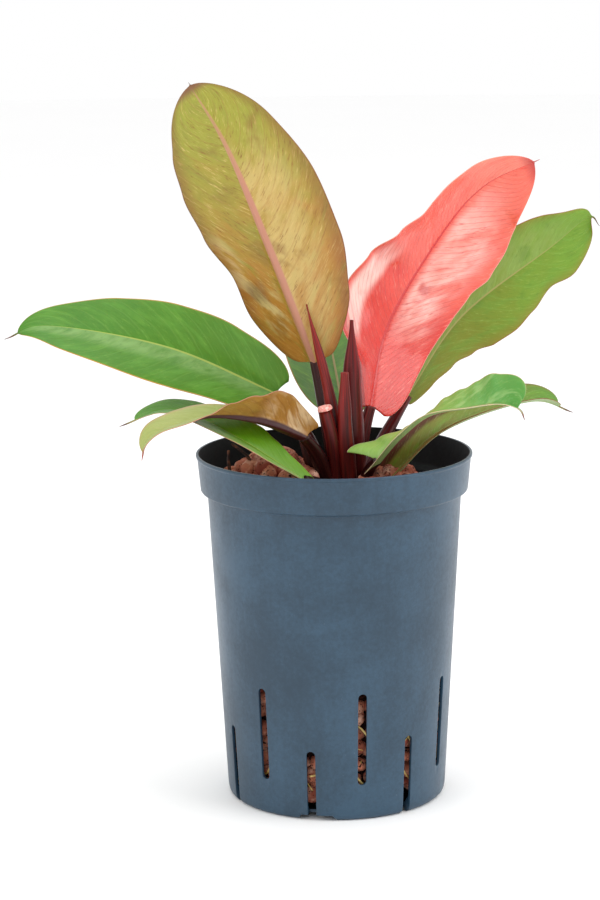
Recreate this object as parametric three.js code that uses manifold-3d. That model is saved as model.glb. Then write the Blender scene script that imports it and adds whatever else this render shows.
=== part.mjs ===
// A young philodendron in a slotted plastic pot filled with expanded clay pellets.
// Millimetres, +Z up. The origin is the middle of the pot's underside, and -Y is the front.
import * as THREE from "three";
import { mergeVertices } from "three/addons/utils/BufferGeometryUtils.js";
import Module from "manifold-3d";

const wasm = await Module();
wasm.setup();

// Clear gap between pieces that touch.
const gap = 0.3;

// Pot: a moulded wall with a wider rim band, standing on a foot ring and a central pad.
const pot = {
  height: 190,
  rimRadius: 75,
  wall: 1.6,
  bandHeight: 21,
  bandTaper: 2.4,
  bandStep: 3.6,
  bodyTaper: 9,
  cornerRise: 4,
  cornerInset: 2.6,
  footHeight: 3,
  footWidth: 2.2,
  padRadius: 9,
  lipOverhang: 0.7,
  lipHeight: 2,
  sides: 44,
};

// Slots in the pot's wall: long ones that end above the foot, and short ones open at the foot.
const slot = { count: 14, width: 4.8, longFoot: 20, longTop: 71, shortTop: 44, loweredTop: 39 };

// Notches through the foot ring.
const notch = { count: 3, firstAngle: -10.5, topWidth: 17, footWidth: 21 };

// Clay bed: its level at the wall, below the rim, and the two mounds beside the plant.
const bed = { depthBelowRim: 24, ripple: 1.6 };
const mounds = [
  { x: -34, y: -10, height: 26, spreadX: 18, spreadY: 24 },
  { x: 30, y: -22, height: 17, spreadX: 18, spreadY: 18 },
];

// Crown: the short stem that all the leaves grow from.
const crown = { x: 6, y: -5, radius: 14, depth: 46, topRise: 12, tipRadius: 7 };

// Leaf blades: a thin sheet with a rib that stands out below.
const blade = { sheet: 0.9, rib: 1.9, tipHalfWidth: 0.6, cellsAlong: 14, cellsAcross: 6, crowding: 0.09 };

const pellets = { count: 12, smallest: 5, largest: 7.5, innerRing: 25, wallGap: 9 };
const roots = { count: 5, radius: 1.6, wallGap: 7, lowest: 22 };
const dryStalkRadius = 1.1;

// ---- Sizes that follow from the ones above.

const bandFoot = pot.height - pot.bandHeight;
const bandFootRadius = pot.rimRadius - pot.bandTaper;
const bodyTopRadius = bandFootRadius - pot.bandStep;
const baseRadius = bodyTopRadius - pot.bodyTaper;
const floorTop = pot.footHeight + pot.wall;
const innerCorner = floorTop + pot.cornerRise;
const footOuter = baseRadius - pot.cornerInset;
const footInner = footOuter - pot.footWidth;
const bedLevel = pot.height - bed.depthBelowRim;

// The wall's outer radius at a height between the rounded corner and the rim band.
function bodyRadius(z) {
  const share = (z - pot.cornerRise) / (bandFoot - pot.cornerRise);
  return THREE.MathUtils.lerp(baseRadius, bodyTopRadius, share);
}

// The radius just inside the wall, with the gap that the clay keeps.
function clayRadius(z) {
  return bodyRadius(z) - pot.wall - gap;
}

// ---- Solids.

// A closed solid from a three.js geometry: shared vertices merged, and collapsed triangles dropped.
function solidOf(geometry) {
  const bare = geometry.clone();
  bare.deleteAttribute("normal");
  bare.deleteAttribute("uv");
  const merged = mergeVertices(bare, 1e-4);
  const corners = [];
  const index = merged.index.array;
  for (let i = 0; i < index.length; i += 3) {
    const [a, b, c] = [index[i], index[i + 1], index[i + 2]];
    if (a !== b && b !== c && a !== c) corners.push(a, b, c);
  }
  return new wasm.Manifold(
    new wasm.Mesh({
      numProp: 3,
      vertProperties: merged.attributes.position.array,
      triVerts: new Uint32Array(corners),
    }),
  );
}

// Moves every vertex of a geometry to where place(vertex) puts it.
function bent(geometry, place) {
  const position = geometry.attributes.position;
  const vertex = new THREE.Vector3();
  for (let i = 0; i < position.count; i++) {
    vertex.fromBufferAttribute(position, i);
    const moved = place(vertex);
    position.setXYZ(i, moved.x, moved.y, moved.z);
  }
  return geometry;
}

// A profile of [radius, height] points turned about the vertical axis.
function turned(profile, sides) {
  const points = profile.map(([radius, height]) => new THREE.Vector2(radius, height));
  return new THREE.LatheGeometry(points, sides).rotateX(Math.PI / 2);
}

// The largest body of a solid, which drops the slivers that a cut leaves.
function largestBody(solid) {
  const bodies = solid.decompose();
  return bodies.reduce((a, b) => (b.volume() > a.volume() ? b : a));
}

function vectors(points) {
  return points.map(([x, y, z]) => new THREE.Vector3(x, y, z + bedLevel));
}

// Evenly spaced keys, eased from one to the next.
function keyed(keys, t) {
  const place = THREE.MathUtils.clamp(t, 0, 1) * (keys.length - 1);
  const first = Math.min(Math.floor(place), Math.max(keys.length - 2, 0));
  const second = Math.min(first + 1, keys.length - 1);
  const ease = THREE.MathUtils.smoothstep(place - first, 0, 1);
  return THREE.MathUtils.lerp(keys[first], keys[second], ease);
}

// ---- Pot.

// A slot's outline, its round top at the given height, with a round or an open foot.
function slotShape(foot, top, open) {
  const half = slot.width / 2;
  const shape = new THREE.Shape();
  shape.absarc(0, top - half, half, 0, Math.PI, false);
  if (open) {
    shape.lineTo(-half, foot);
    shape.lineTo(half, foot);
  } else {
    shape.absarc(0, foot + half, half, Math.PI, 2 * Math.PI, false);
  }
  return shape;
}

function notchShape() {
  const shape = new THREE.Shape();
  shape.moveTo(-notch.footWidth / 2 - 1, -1);
  shape.lineTo(notch.footWidth / 2 + 1, -1);
  shape.lineTo(notch.topWidth / 2, pot.footHeight);
  shape.lineTo(-notch.topWidth / 2, pot.footHeight);
  return shape;
}

// A cutter with the given outline that passes through the wall at an angle from the front.
function throughWall(shape, innerRadius, outerRadius, degrees) {
  const depth = outerRadius - innerRadius;
  const geometry = new THREE.ExtrudeGeometry(shape, { depth, bevelEnabled: false, curveSegments: 2 });
  geometry.rotateX(Math.PI / 2);
  geometry.translate(0, -innerRadius, 0);
  return solidOf(geometry.rotateZ(THREE.MathUtils.degToRad(degrees)));
}

function potSolid() {
  const lipInner = pot.rimRadius - pot.wall;
  const profile = [
    [0, 0],
    [pot.padRadius, 0],
    [pot.padRadius, pot.footHeight],
    [footInner, pot.footHeight],
    [footInner, 0],
    [footOuter, 0],
    [baseRadius - pot.cornerInset / 3, pot.cornerRise / 3],
    [baseRadius, pot.cornerRise],
    [bodyTopRadius, bandFoot],
    [bandFootRadius, bandFoot + 1],
    [pot.rimRadius - pot.lipOverhang, pot.height - pot.lipHeight],
    [pot.rimRadius, pot.height - pot.lipHeight / 2],
    [pot.rimRadius - pot.lipOverhang / 2, pot.height],
    [lipInner, pot.height],
    [bandFootRadius - pot.wall, bandFoot + 3],
    [bodyTopRadius - pot.wall, bandFoot + 1],
    [bodyRadius(innerCorner) - pot.wall, innerCorner],
    [footInner, floorTop],
    [0, floorTop],
  ];
  let solid = solidOf(turned(profile, pot.sides));
  const notchAngles = Array.from(
    { length: notch.count },
    (_, i) => notch.firstAngle + (i * 360) / notch.count,
  );
  for (const angle of notchAngles) {
    solid = solid.subtract(throughWall(notchShape(), footInner - 3, baseRadius + 3, angle));
  }
  for (let i = 0; i < slot.count; i++) {
    const angle = ((i + 0.5) * 360) / slot.count;
    const long = i % 2 === 0;
    const aboveNotch = notchAngles.some((other) => Math.abs(other + 360 - angle) % 360 < 5);
    const shortTop = aboveNotch ? slot.loweredTop : slot.shortTop;
    const shape = long
      ? slotShape(slot.longFoot, slot.longTop, false)
      : slotShape(-1, shortTop, true);
    solid = solid.subtract(throughWall(shape, footInner - 1, bodyTopRadius + 3, angle));
  }
  return solid;
}

// ---- Crown, roots and stalks.

// The crown, grown outwards by extra all round.
function crownSolid(extra) {
  const profile = [
    [0, -crown.depth - extra],
    [crown.radius * 0.55 + extra, -crown.depth - extra],
    [crown.radius + extra, -crown.depth * 0.45],
    [crown.radius + extra, 0],
    [crown.tipRadius + extra, crown.topRise + extra],
    [0, crown.topRise + extra],
  ];
  return solidOf(turned(profile, 14).translate(crown.x, crown.y, bedLevel));
}

// A tube that tapers through evenly spaced radii, its ends extra past the curve's ends.
function taperedTube(points, radii, extra, flatness) {
  const curve = new THREE.CatmullRomCurve3(vectors(points), false, "catmullrom");
  const side = new THREE.Vector3();
  const face = new THREE.Vector3();
  const across = new THREE.Vector3(1, 0, 0);
  const geometry = new THREE.CylinderGeometry(1, 1, 1, 8, 8);
  return solidOf(
    bent(geometry, (vertex) => {
      const t = vertex.y + 0.5;
      const tangent = curve.getTangentAt(t);
      side.copy(across).addScaledVector(tangent, -across.dot(tangent)).normalize();
      face.crossVectors(side, tangent);
      const radius = keyed(radii, t) + extra;
      const overrun = t === 0 ? -extra : t === 1 ? extra : 0;
      return curve
        .getPointAt(t)
        .addScaledVector(side, vertex.x * radius)
        .addScaledVector(face, vertex.z * radius * flatness)
        .addScaledVector(tangent, overrun);
    }),
  );
}

// A thin round cord along a path.
function cord(points, radius, steps) {
  const section = new THREE.Shape();
  section.absarc(0, 0, radius, 0, 2 * Math.PI, false);
  const path = new THREE.CatmullRomCurve3(vectors(points), false, "catmullrom");
  const options = { steps, curveSegments: 3, extrudePath: path, bevelEnabled: false };
  return solidOf(new THREE.ExtrudeGeometry(section, options));
}

// A main root runs out from the crown's foot and down beside the wall.
function rootSolid(number, extra) {
  const angle = ((number + 0.5) * 2 * Math.PI) / roots.count;
  const stretch = clayRadius(bandFoot / 2) - roots.wallGap;
  const start = -crown.depth * 0.6;
  const end = roots.lowest - bedLevel;
  const points = [
    [0.3 * crown.radius, start],
    [0.5 * stretch, start - 14],
    [0.9 * stretch, 0.55 * (start + end)],
    [clayRadius(roots.lowest) - roots.wallGap, end - extra],
  ].map(([radius, z], i) => [
    crown.x * (1 - i / 3) + radius * Math.cos(angle + 0.12 * i),
    crown.y * (1 - i / 3) + radius * Math.sin(angle + 0.12 * i),
    z,
  ]);
  return cord(points, roots.radius + extra, 8);
}

// ---- Leaves.

// Each leaf: the blade's midrib from its base to its tip, the compass bearing its upper side
// leans to (0 is +X, 90 is +Y), how far it turns and folds, and its outline.
// Shares widen or narrow one side along the blade. Heights are above the clay's level.
const leaves = {
  tall_leaf: {
    stalk: [[3, -9, 2], [-3, -12, 38]],
    stalkRadii: [5, 3.6, 2.8],
    midrib: [[-10, -8, 75], [-32, -24, 135], [-54, -31, 191], [-74, -27, 225]],
    bearing: -100,
    turn: [5],
    halfWidth: 39.5,
    foldLeft: [14, 8, 6],
    foldRight: [14, 8, 6],
    shareLeft: [0.7, 0.9, 0.99, 1, 0.94, 0.85],
    shareRight: [0.8, 0.84, 0.73, 0.9, 1, 1.1, 1.25],
    outline: { widest: 0.45, base: 0.25, tip: 1.7, tail: 0.01 },
    lobe: 0,
    colour: "#8c8c3c",
  },
  red_leaf: {
    stalk: [[10, 1, 2], [15, 3, 29]],
    stalkRadii: [5.5, 4, 3],
    midrib: [[20, 4, 48], [30, 24, 89], [60, 43, 137], [84, 48, 163], [114, 46, 177]],
    bearing: 60,
    turn: [-65],
    halfWidth: 38,
    foldLeft: [20, 26, 6, 0, 6, 20, 28, 24, 20, 20, 20],
    foldRight: [12, 8, 6],
    shareLeft: [0.6, 0.8, 1, 1.06, 1, 0.96, 0.92, 0.8, 0.66, 0.6, 0.6],
    shareRight: [0.8, 0.82, 0.85, 0.85, 0.86, 0.9, 1.05, 1.1, 1.07, 1.1, 1.1],
    outline: { widest: 0.5, base: 0.3, tip: 1.7, tail: 0.02 },
    lobe: 3,
    colour: "#e0604f",
  },
  right_leaf: {
    stalk: [[13, 6, 2], [27, 22, 26]],
    stalkRadii: [5, 3.6, 2.6],
    midrib: [[41, 34, 48], [72, 58, 89], [122, 79, 124], [144, 82, 141], [151, 84, 136]],
    bearing: 55,
    turn: [-78],
    halfWidth: 28,
    foldLeft: [10, 8, 6],
    foldRight: [10, 8, 6],
    shareLeft: [0.8, 0.8, 0.85, 1, 1.02, 0.75],
    shareRight: [0.4, 0.45, 0.6, 0.8, 0.95, 0.975, 0.91, 0.78, 1, 1, 1.05],
    outline: { widest: 0.5, base: 0.3, tip: 2, tail: 0.05 },
    lobe: 3,
    colour: "#5f8f3a",
  },
  rear_leaf: {
    stalk: [[6, 7, 2], [6, 22, 25]],
    stalkRadii: [4.5, 3.2, 2.4],
    midrib: [[5, 32, 42], [0, 62, 65], [-6, 92, 93], [-12, 108, 113]],
    bearing: 100,
    turn: [0],
    halfWidth: 28,
    foldLeft: [10, 8, 6],
    foldRight: [10, 8, 6],
    shareLeft: [1],
    shareRight: [1],
    outline: { widest: 0.42, base: 0.3, tip: 1.5, tail: 0.02 },
    lobe: 4,
    colour: "#4f8a3c",
  },
  left_leaf: {
    stalk: [[-1, -7, 2], [-13, -6, 32]],
    stalkRadii: [4, 3, 2.2],
    midrib: [[-31, 0, 56], [-88, -9, 83], [-150, -21, 97], [-174, -26, 91]],
    bearing: 184,
    turn: [32, 32, 28],
    halfWidth: 33,
    foldLeft: [4],
    foldRight: [14, 12, 8],
    shareLeft: [0.9, 0.95, 1, 1, 1, 0.9],
    shareRight: [1.1, 1, 0.9, 0.85, 0.75, 0.7],
    outline: { widest: 0.4, base: 0.3, tip: 1.5, tail: 0.05 },
    lobe: 5,
    colour: "#5c9a38",
  },
  bronze_leaf: {
    stalk: [[0, -15, 2], [-9, -26, 27]],
    stalkRadii: [6, 4.4, 3.2],
    midrib: [
      [-16, -32, 38], [-39, -48, 50], [-62, -58, 55], [-77, -66, 53], [-91, -72, 49],
      [-97, -75, 43.5], [-99, -77, 35],
    ],
    bearing: 205,
    turn: [0],
    halfWidth: 22,
    foldLeft: [84, 84, 66, 42, 27, 14, 10, 12, 20],
    foldRight: [20, 20, 15, 8, 6, 10, 15, 10],
    shareLeft: [0.7, 0.95, 0.95, 1, 1],
    shareRight: [1],
    outline: { widest: 0.35, base: 0.5, tip: 1.4, tail: 0.04 },
    lobe: 6,
    colour: "#8a6a36",
  },
  low_left_leaf: {
    stalk: [[-3, -17, 4], [-9, -31, 13]],
    stalkRadii: [3.6, 3, 2.4],
    midrib: [[-15.5, -42, 17], [-52, -45, 41.5], [-86, -27, 52.5], [-113.5, -34, 45]],
    bearing: 180,
    turn: [0],
    halfWidth: 18,
    foldLeft: [4, 0, 0, 2, 4],
    foldRight: [38, 38, 28, 16, 15],
    shareLeft: [0.5, 0.8, 1, 1, 1],
    shareRight: [0.5, 0.6, 0.74, 0.85, 0.82, 0.8, 0.82, 0.95, 1, 1.2, 1.2],
    outline: { widest: 0.4, base: 0.35, tip: 1.8, tail: 0.08 },
    lobe: 5,
    colour: "#6f9c3f",
  },
  low_right_leaf: {
    stalk: [[13, -16, 4], [19, -29, 20]],
    stalkRadii: [4, 3.2, 2.4],
    midrib: [
      [23, -36, 25.6], [35, -38, 39.4], [50.6, -42, 51.8], [71.4, -45, 55.9], [88, -46.5, 58],
      [97, -48, 55], [100, -48, 49.3],
    ],
    bearing: -10,
    turn: [0],
    halfWidth: 21,
    foldLeft: [70, 28, 5, -5, 0, 14, 24, 32, 44, 62, 80],
    foldRight: [8],
    shareLeft: [0.95, 0.7, 0.75, 0.88, 1.15, 1.5],
    shareRight: [0.3, 0.5, 0.8, 0.9, 0.8],
    outline: { widest: 0.5, base: 0.8, tip: 3, tail: 0.08 },
    lobe: 9,
    colour: "#7ca64f",
  },
  front_right_leaf: {
    stalk: [[17, -13, 2], [24, -23, 9]],
    stalkRadii: [4.2, 3.2, 2.4],
    midrib: [[30, -30, 16], [59, -20, 40], [106, 0, 51], [130, 8, 43]],
    bearing: 15,
    turn: [0],
    halfWidth: 14.5,
    foldLeft: [40, 35, 35, 40, 45],
    foldRight: [14],
    shareLeft: [1],
    shareRight: [1],
    outline: { widest: 0.5, base: 0.55, tip: 3, tail: 0.08 },
    lobe: 3,
    colour: "#6f8a3a",
  },
};

// The blade's half width at t, as a share: a round shoulder, a taper, then nothing along the drip tip.
function outlineShare({ widest, base, tip, tail }, t) {
  if (t < widest) {
    const inward = (widest - t) / widest;
    return base + (1 - base) * Math.sqrt(1 - inward ** 2.2);
  }
  const outward = (t - widest) / (1 - tail - widest);
  return Math.max(1 - outward ** 2.2, 0) ** (1 / tip);
}

// Evenly spaced steps drawn together towards both ends, where the outline turns fastest.
function crowded(step) {
  return step - blade.crowding * Math.sin(2 * Math.PI * step);
}

// The point of a leaf's surface at t along and v across (-1 left to 1 right).
function bladePoint(leaf, curve, t, v) {
  const along = curve.getTangentAt(t);
  const bearing = THREE.MathUtils.degToRad(leaf.bearing);
  const across = new THREE.Vector3(Math.sin(bearing), -Math.cos(bearing), 0);
  across.addScaledVector(along, -across.dot(along)).normalize();
  const up = new THREE.Vector3().crossVectors(across, along);
  const turn = THREE.MathUtils.degToRad(keyed(leaf.turn, t));
  const right = across.clone().multiplyScalar(Math.cos(turn)).addScaledVector(up, Math.sin(turn));
  const face = up.multiplyScalar(Math.cos(turn)).addScaledVector(across, -Math.sin(turn));
  const fold = THREE.MathUtils.degToRad(keyed(v < 0 ? leaf.foldLeft : leaf.foldRight, t));
  const share = keyed(v < 0 ? leaf.shareLeft : leaf.shareRight, t);
  const width = Math.max(leaf.halfWidth * share * outlineShare(leaf.outline, t), blade.tipHalfWidth);
  const lobe = leaf.lobe * Math.abs(v) ** 1.5 * Math.max(1 - 4 * t, 0) ** 2;
  return curve
    .getPointAt(t)
    .addScaledVector(right, width * v * Math.cos(fold))
    .addScaledVector(face, width * Math.abs(v) * Math.sin(fold))
    .addScaledVector(along, -lobe);
}

// The surface's normal, on the upper side, from its slopes along and across.
function bladeNormal(leaf, curve, t, v) {
  const step = 0.01;
  const ahead = bladePoint(leaf, curve, Math.min(t + step, 1), v);
  const behind = bladePoint(leaf, curve, Math.max(t - step, 0), v);
  const right = bladePoint(leaf, curve, t, Math.min(v + step, 1));
  const left = bladePoint(leaf, curve, t, Math.max(v - step, -1));
  return right.sub(left).cross(ahead.sub(behind)).normalize();
}

// The blade: a sheet bent to the leaf's surface, thicker below the midrib.
function bladeSolid(leaf, extra) {
  const curve = new THREE.CatmullRomCurve3(vectors(leaf.midrib), false, "catmullrom");
  const grid = new THREE.BoxGeometry(2, 1, 1, blade.cellsAcross, blade.cellsAlong, 1);
  return solidOf(
    bent(grid, (vertex) => {
      const t = crowded(vertex.y + 0.5);
      const ribbed = Math.abs(vertex.x) < 0.01 && vertex.z < 0;
      const depth = blade.sheet / 2 + extra + (ribbed ? blade.rib * (1 - t) : 0);
      const offset = Math.sign(vertex.z) * depth;
      return bladePoint(leaf, curve, t, vertex.x).addScaledVector(
        bladeNormal(leaf, curve, t, vertex.x),
        offset,
      );
    }),
  );
}

// ---- Sheaths round the crown, an old cut stalk, and two dry stalks in the clay.

const sheaths = {
  left_spike_sheath: {
    points: [[4, -14, 4], [-2, -16, 56], [-14, -18, 107]],
    radii: [4.2, 3.4, 0.4],
    flatness: 0.8,
  },
  middle_spike_sheath: {
    points: [[11, -7, 2], [10, -8, 54], [10, -8, 97]],
    radii: [5.2, 4, 0.5],
    flatness: 0.8,
  },
  front_spike_sheath: {
    points: [[8, -17, 2], [6, -22, 40], [6, -22, 71]],
    radii: [5, 4.4, 2.2],
    flatness: 0.8,
  },
  cut_stalk_stub: {
    points: [[1, -20, 8], [-1, -23, 34], [-5, -24, 53]],
    radii: [3.4, 3.6, 3.3],
    flatness: 1,
  },
  front_left_sheath: {
    points: [[-6, -12, 6], [-12, -15, 23], [-19, -16, 38]],
    radii: [4.6, 4.4, 1.4],
    flatness: 0.4,
  },
};

const dryStalks = {
  upright_dry_stalk: [[-54, -30, 12], [-56, -31, 23], [-56, -31, 31]],
  leaning_dry_stalk: [[-42, -17, 12], [-46, -16, 24], [-55, -12, 31]],
};

// ---- Clay.

// The bed's surface height at a place.
function clayHeight(x, y) {
  const ripple = bed.ripple * Math.sin(x / 5.3) * Math.cos(y / 4.7);
  const calm = 1 - Math.min((x * x + y * y) / clayRadius(bedLevel) ** 2, 1);
  let rise = 0;
  for (const mound of mounds) {
    const acrossX = (x - mound.x) / mound.spreadX;
    const acrossY = (y - mound.y) / mound.spreadY;
    rise += mound.height * Math.exp(-0.5 * (acrossX ** 2 + acrossY ** 2));
  }
  return bedLevel + rise * Math.sqrt(Math.sqrt(calm)) + ripple * calm;
}

function claySolid() {
  const rings = 9;
  const profile = [
    [0, floorTop + gap],
    [footInner - gap, floorTop + gap],
    [clayRadius(innerCorner), innerCorner + gap],
  ];
  for (let i = 0; i <= rings; i++) profile.push([clayRadius(bedLevel) * (1 - i / rings), bedLevel]);
  const lift = (vertex) => {
    if (vertex.z > bedLevel - 1) vertex.z = clayHeight(vertex.x, vertex.y);
    return vertex;
  };
  return solidOf(bent(turned(profile, 28), lift));
}

// A pellet lying half sunk in the bed, at a place on a sunflower spiral round the crown.
function pelletSolid(number, extra) {
  const share = (number + 0.5) / pellets.count;
  const angle = number * 2.39996 + 0.4;
  const outer = clayRadius(bedLevel) - pellets.wallGap;
  const distance = THREE.MathUtils.lerp(pellets.innerRing, outer, Math.sqrt(share));
  const x = distance * Math.cos(angle);
  const y = distance * Math.sin(angle);
  const size = THREE.MathUtils.lerp(pellets.smallest, pellets.largest, (number * 0.618) % 1);
  const lump = new THREE.IcosahedronGeometry(size + extra, 1);
  lump.scale(1.12, 1, 0.86).rotateZ(angle * 3).rotateX(0.5 * Math.sin(5 * angle));
  return solidOf(lump.translate(x, y, clayHeight(x, y) + 0.25 * size));
}

// ---- Assembly: each piece is cut clear of the pieces named before it.

const materials = {
  pot: { color: "#465c6e", roughness: 0.5 },
  clay: { color: "#8a4b3a", roughness: 0.95 },
  crown: { color: "#5a1a1c", roughness: 0.6 },
  stalk: { color: "#6e1620", roughness: 0.4 },
  sheath: { color: "#5e2430", roughness: 0.5 },
  root: { color: "#d9c27a", roughness: 0.7 },
  dry: { color: "#3a2420", roughness: 0.9 },
};

const plantPieces = [{ name: "crown", material: materials.crown, make: crownSolid }];
for (const [name, leaf] of Object.entries(leaves)) {
  const points = [...leaf.stalk, leaf.midrib[0]];
  plantPieces.push({
    name: `${name}_stalk`,
    material: materials.stalk,
    make: (extra) => taperedTube(points, leaf.stalkRadii, extra, 1),
  });
}
for (const [name, { points, radii, flatness }] of Object.entries(sheaths)) {
  plantPieces.push({
    name,
    material: materials.sheath,
    make: (extra) => taperedTube(points, radii, extra, flatness),
  });
}
for (const [name, leaf] of Object.entries(leaves)) {
  plantPieces.push({
    name: `${name}_blade`,
    material: { color: leaf.colour, roughness: 0.35 },
    make: (extra) => bladeSolid(leaf, extra),
  });
}
for (let i = 0; i < roots.count; i++) {
  plantPieces.push({
    name: `root_${i + 1}`,
    material: materials.root,
    make: (extra) => rootSolid(i, extra),
  });
}
for (const [name, points] of Object.entries(dryStalks)) {
  plantPieces.push({
    name,
    material: materials.dry,
    make: (extra) => cord(points, dryStalkRadius + extra, 6),
  });
}
for (let i = 0; i < pellets.count; i++) {
  plantPieces.push({
    name: `top_pellet_${i + 1}`,
    material: materials.clay,
    make: (extra) => pelletSolid(i, extra),
  });
}
plantPieces.push({ name: "clay_bed", material: materials.clay, make: claySolid });

function boxesMeet(a, b) {
  return [0, 1, 2].every((i) => a.min[i] < b.max[i] && b.min[i] < a.max[i]);
}

function meshOf(name, solid, material) {
  const mesh = solid.getMesh();
  const geometry = new THREE.BufferGeometry();
  geometry.setAttribute("position", new THREE.BufferAttribute(mesh.vertProperties, 3));
  geometry.setIndex(new THREE.BufferAttribute(mesh.triVerts, 1));
  geometry.computeVertexNormals();
  const made = new THREE.Mesh(geometry, new THREE.MeshStandardMaterial({ metalness: 0, ...material }));
  made.name = name;
  return made;
}

const plantInPot = new THREE.Group();
plantInPot.add(meshOf("pot", potSolid(), materials.pot));
const clearances = [];
for (const { name, material, make } of plantPieces) {
  let solid = make(0);
  for (const other of clearances) {
    if (boxesMeet(solid.boundingBox(), other.boundingBox())) solid = solid.subtract(other);
  }
  plantInPot.add(meshOf(name, largestBody(solid), material));
  clearances.push(make(gap));
}

export default plantInPot;
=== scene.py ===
import bpy
import numpy as np
from mathutils import Matrix, Vector


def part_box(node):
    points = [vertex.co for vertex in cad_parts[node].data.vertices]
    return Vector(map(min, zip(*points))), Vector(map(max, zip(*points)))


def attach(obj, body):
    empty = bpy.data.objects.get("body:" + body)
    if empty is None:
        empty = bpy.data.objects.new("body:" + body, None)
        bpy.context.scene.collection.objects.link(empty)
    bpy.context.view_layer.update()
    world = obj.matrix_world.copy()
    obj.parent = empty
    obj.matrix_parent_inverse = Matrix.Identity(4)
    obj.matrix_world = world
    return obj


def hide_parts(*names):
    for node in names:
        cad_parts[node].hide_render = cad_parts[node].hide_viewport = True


# A young philodendron in a slotted plastic pot of clay pellets. Metres, +Z up, -Y is the front.

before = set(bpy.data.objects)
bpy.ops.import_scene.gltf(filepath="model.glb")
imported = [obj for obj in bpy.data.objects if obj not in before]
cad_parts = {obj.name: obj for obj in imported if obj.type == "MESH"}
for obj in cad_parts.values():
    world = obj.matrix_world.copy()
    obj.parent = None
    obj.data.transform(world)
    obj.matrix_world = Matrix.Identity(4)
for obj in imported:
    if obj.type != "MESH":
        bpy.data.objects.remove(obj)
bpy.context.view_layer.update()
mm = 0.001
potLow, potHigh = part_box("pot")
rimRadius = (potHigh.x - potLow.x) / 2
potHeight = potHigh.z
clayLevel = potHeight - 24 * mm      # the clay's level at the wall
print("frame loaded:", len(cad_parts), "nodes")


# A smooth mesh from a point array and a list of face arrays, each with its material slot number.
def addMesh(name, points, faces, slots=None, uv=None, replaced=(), slotName=None, tone=None):
    mesh = bpy.data.meshes.new(name)
    corners = np.concatenate([f.ravel() for f in faces])
    sizes = np.concatenate([np.full(len(f), f.shape[1]) for f in faces])
    mesh.vertices.add(len(points))
    mesh.loops.add(len(corners))
    mesh.polygons.add(len(sizes))
    mesh.vertices.foreach_set("co", np.asarray(points, np.float32).ravel())
    mesh.loops.foreach_set("vertex_index", corners.astype(np.int32))
    mesh.polygons.foreach_set("loop_start", np.concatenate([[0], np.cumsum(sizes)[:-1]]).astype(np.int32))
    mesh.polygons.foreach_set("loop_total", sizes.astype(np.int32))
    mesh.polygons.foreach_set("use_smooth", np.ones(len(sizes), bool))
    if slots is not None:
        mesh.polygons.foreach_set("material_index", np.concatenate(slots).astype(np.int32))
    if uv is not None:
        layer = mesh.uv_layers.new(name="surface")
        layer.data.foreach_set("uv", np.asarray(uv, np.float32)[corners].ravel())
    if tone is not None:
        mesh.attributes.new("tone", "FLOAT", "POINT").data.foreach_set("value", tone.astype(np.float32))
    mesh.update()
    mesh.validate()
    piece = bpy.data.objects.new(name, mesh)
    bpy.context.scene.collection.objects.link(piece)
    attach(piece, "root")
    if replaced:
        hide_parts(*replaced)
    return piece


# Quads of a grid of points, row after row; closed joins the last column to the first.
def gridFaces(rows, columns, closed=False):
    across = columns if closed else columns - 1
    r, c = np.meshgrid(np.arange(rows - 1), np.arange(across), indexing="ij")
    nextC = (c + 1) % columns
    quads = np.stack([r * columns + c, r * columns + nextC, (r + 1) * columns + nextC, (r + 1) * columns + c],
        -1)
    return quads.reshape(-1, 4)


# Triangles from a closed ring of points to one centre point.
def fanFaces(ring, centre, flip=False):
    ring = np.asarray(ring)
    ends = np.stack([ring, np.roll(ring, -1), np.full(len(ring), centre)], -1)
    return ends[:, ::-1] if flip else ends


# Faces of ring rows closed at both ends by fans, to two points that follow the grid's own. Turned reverses
# every face.
def closedFaces(rows, columns, turned=False):
    ring, last = np.arange(columns), (rows - 1) * columns
    grid = gridFaces(rows, columns, True)
    return [grid[:, ::-1] if turned else grid, fanFaces(ring, rows * columns, not turned),
            fanFaces(ring + last, rows * columns + 1, turned)]


# Points and unit directions at shares of the length of a Catmull-Rom curve through the given points.
def smoothPath(points, shares):
    p = np.asarray(points, float)
    ends = np.vstack([2 * p[0] - p[1], p, 2 * p[-1] - p[-2]])
    fine = np.linspace(0, len(p) - 1, 60 * (len(p) - 1) + 1)
    i = np.minimum(fine.astype(int), len(p) - 2)
    f = (fine - i)[:, None]
    a, b, c, d = ends[i], ends[i + 1], ends[i + 2], ends[i + 3]
    curve = 0.5 * (2 * b + (c - a) * f + (2 * a - 5 * b + 4 * c - d) * f**2 + (3 * b - a - 3 * c + d) * f**3)
    run = np.concatenate([[0], np.cumsum(np.linalg.norm(np.diff(curve, axis=0), axis=1))])
    at = np.asarray(shares) * run[-1]
    place = np.stack([np.interp(at, run, curve[:, k]) for k in range(3)], -1)
    slope = np.gradient(curve, run, axis=0)
    way = np.stack([np.interp(at, run, slope[:, k]) for k in range(3)], -1)
    return place, way / np.linalg.norm(way, axis=-1, keepdims=True), run[-1]


# Evenly spaced keys, eased from one to the next, read at t from 0 to 1.
def eased(keys, t):
    k = np.atleast_1d(np.asarray(keys, float))
    if len(k) == 1:
        return np.full_like(t, k[0])
    x = np.clip(t, 0, 1) * (len(k) - 1)
    i = np.minimum(x.astype(int), len(k) - 2)
    f = x - i
    f = f * f * (3 - 2 * f)
    return k[i] * (1 - f) + k[i + 1] * f


# 0 below low, 1 above high, and three f squared less two f cubed between them.
def smoothStep(low, high, x):
    f = np.clip((x - low) / (high - low), 0, 1)
    return f * f * (3 - 2 * f)


# Points in millimetres above the clay's level, as metres in the frame.
def abovePot(points):
    p = np.asarray(points, float) * mm
    p[:, 2] += clayLevel
    return p


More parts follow.
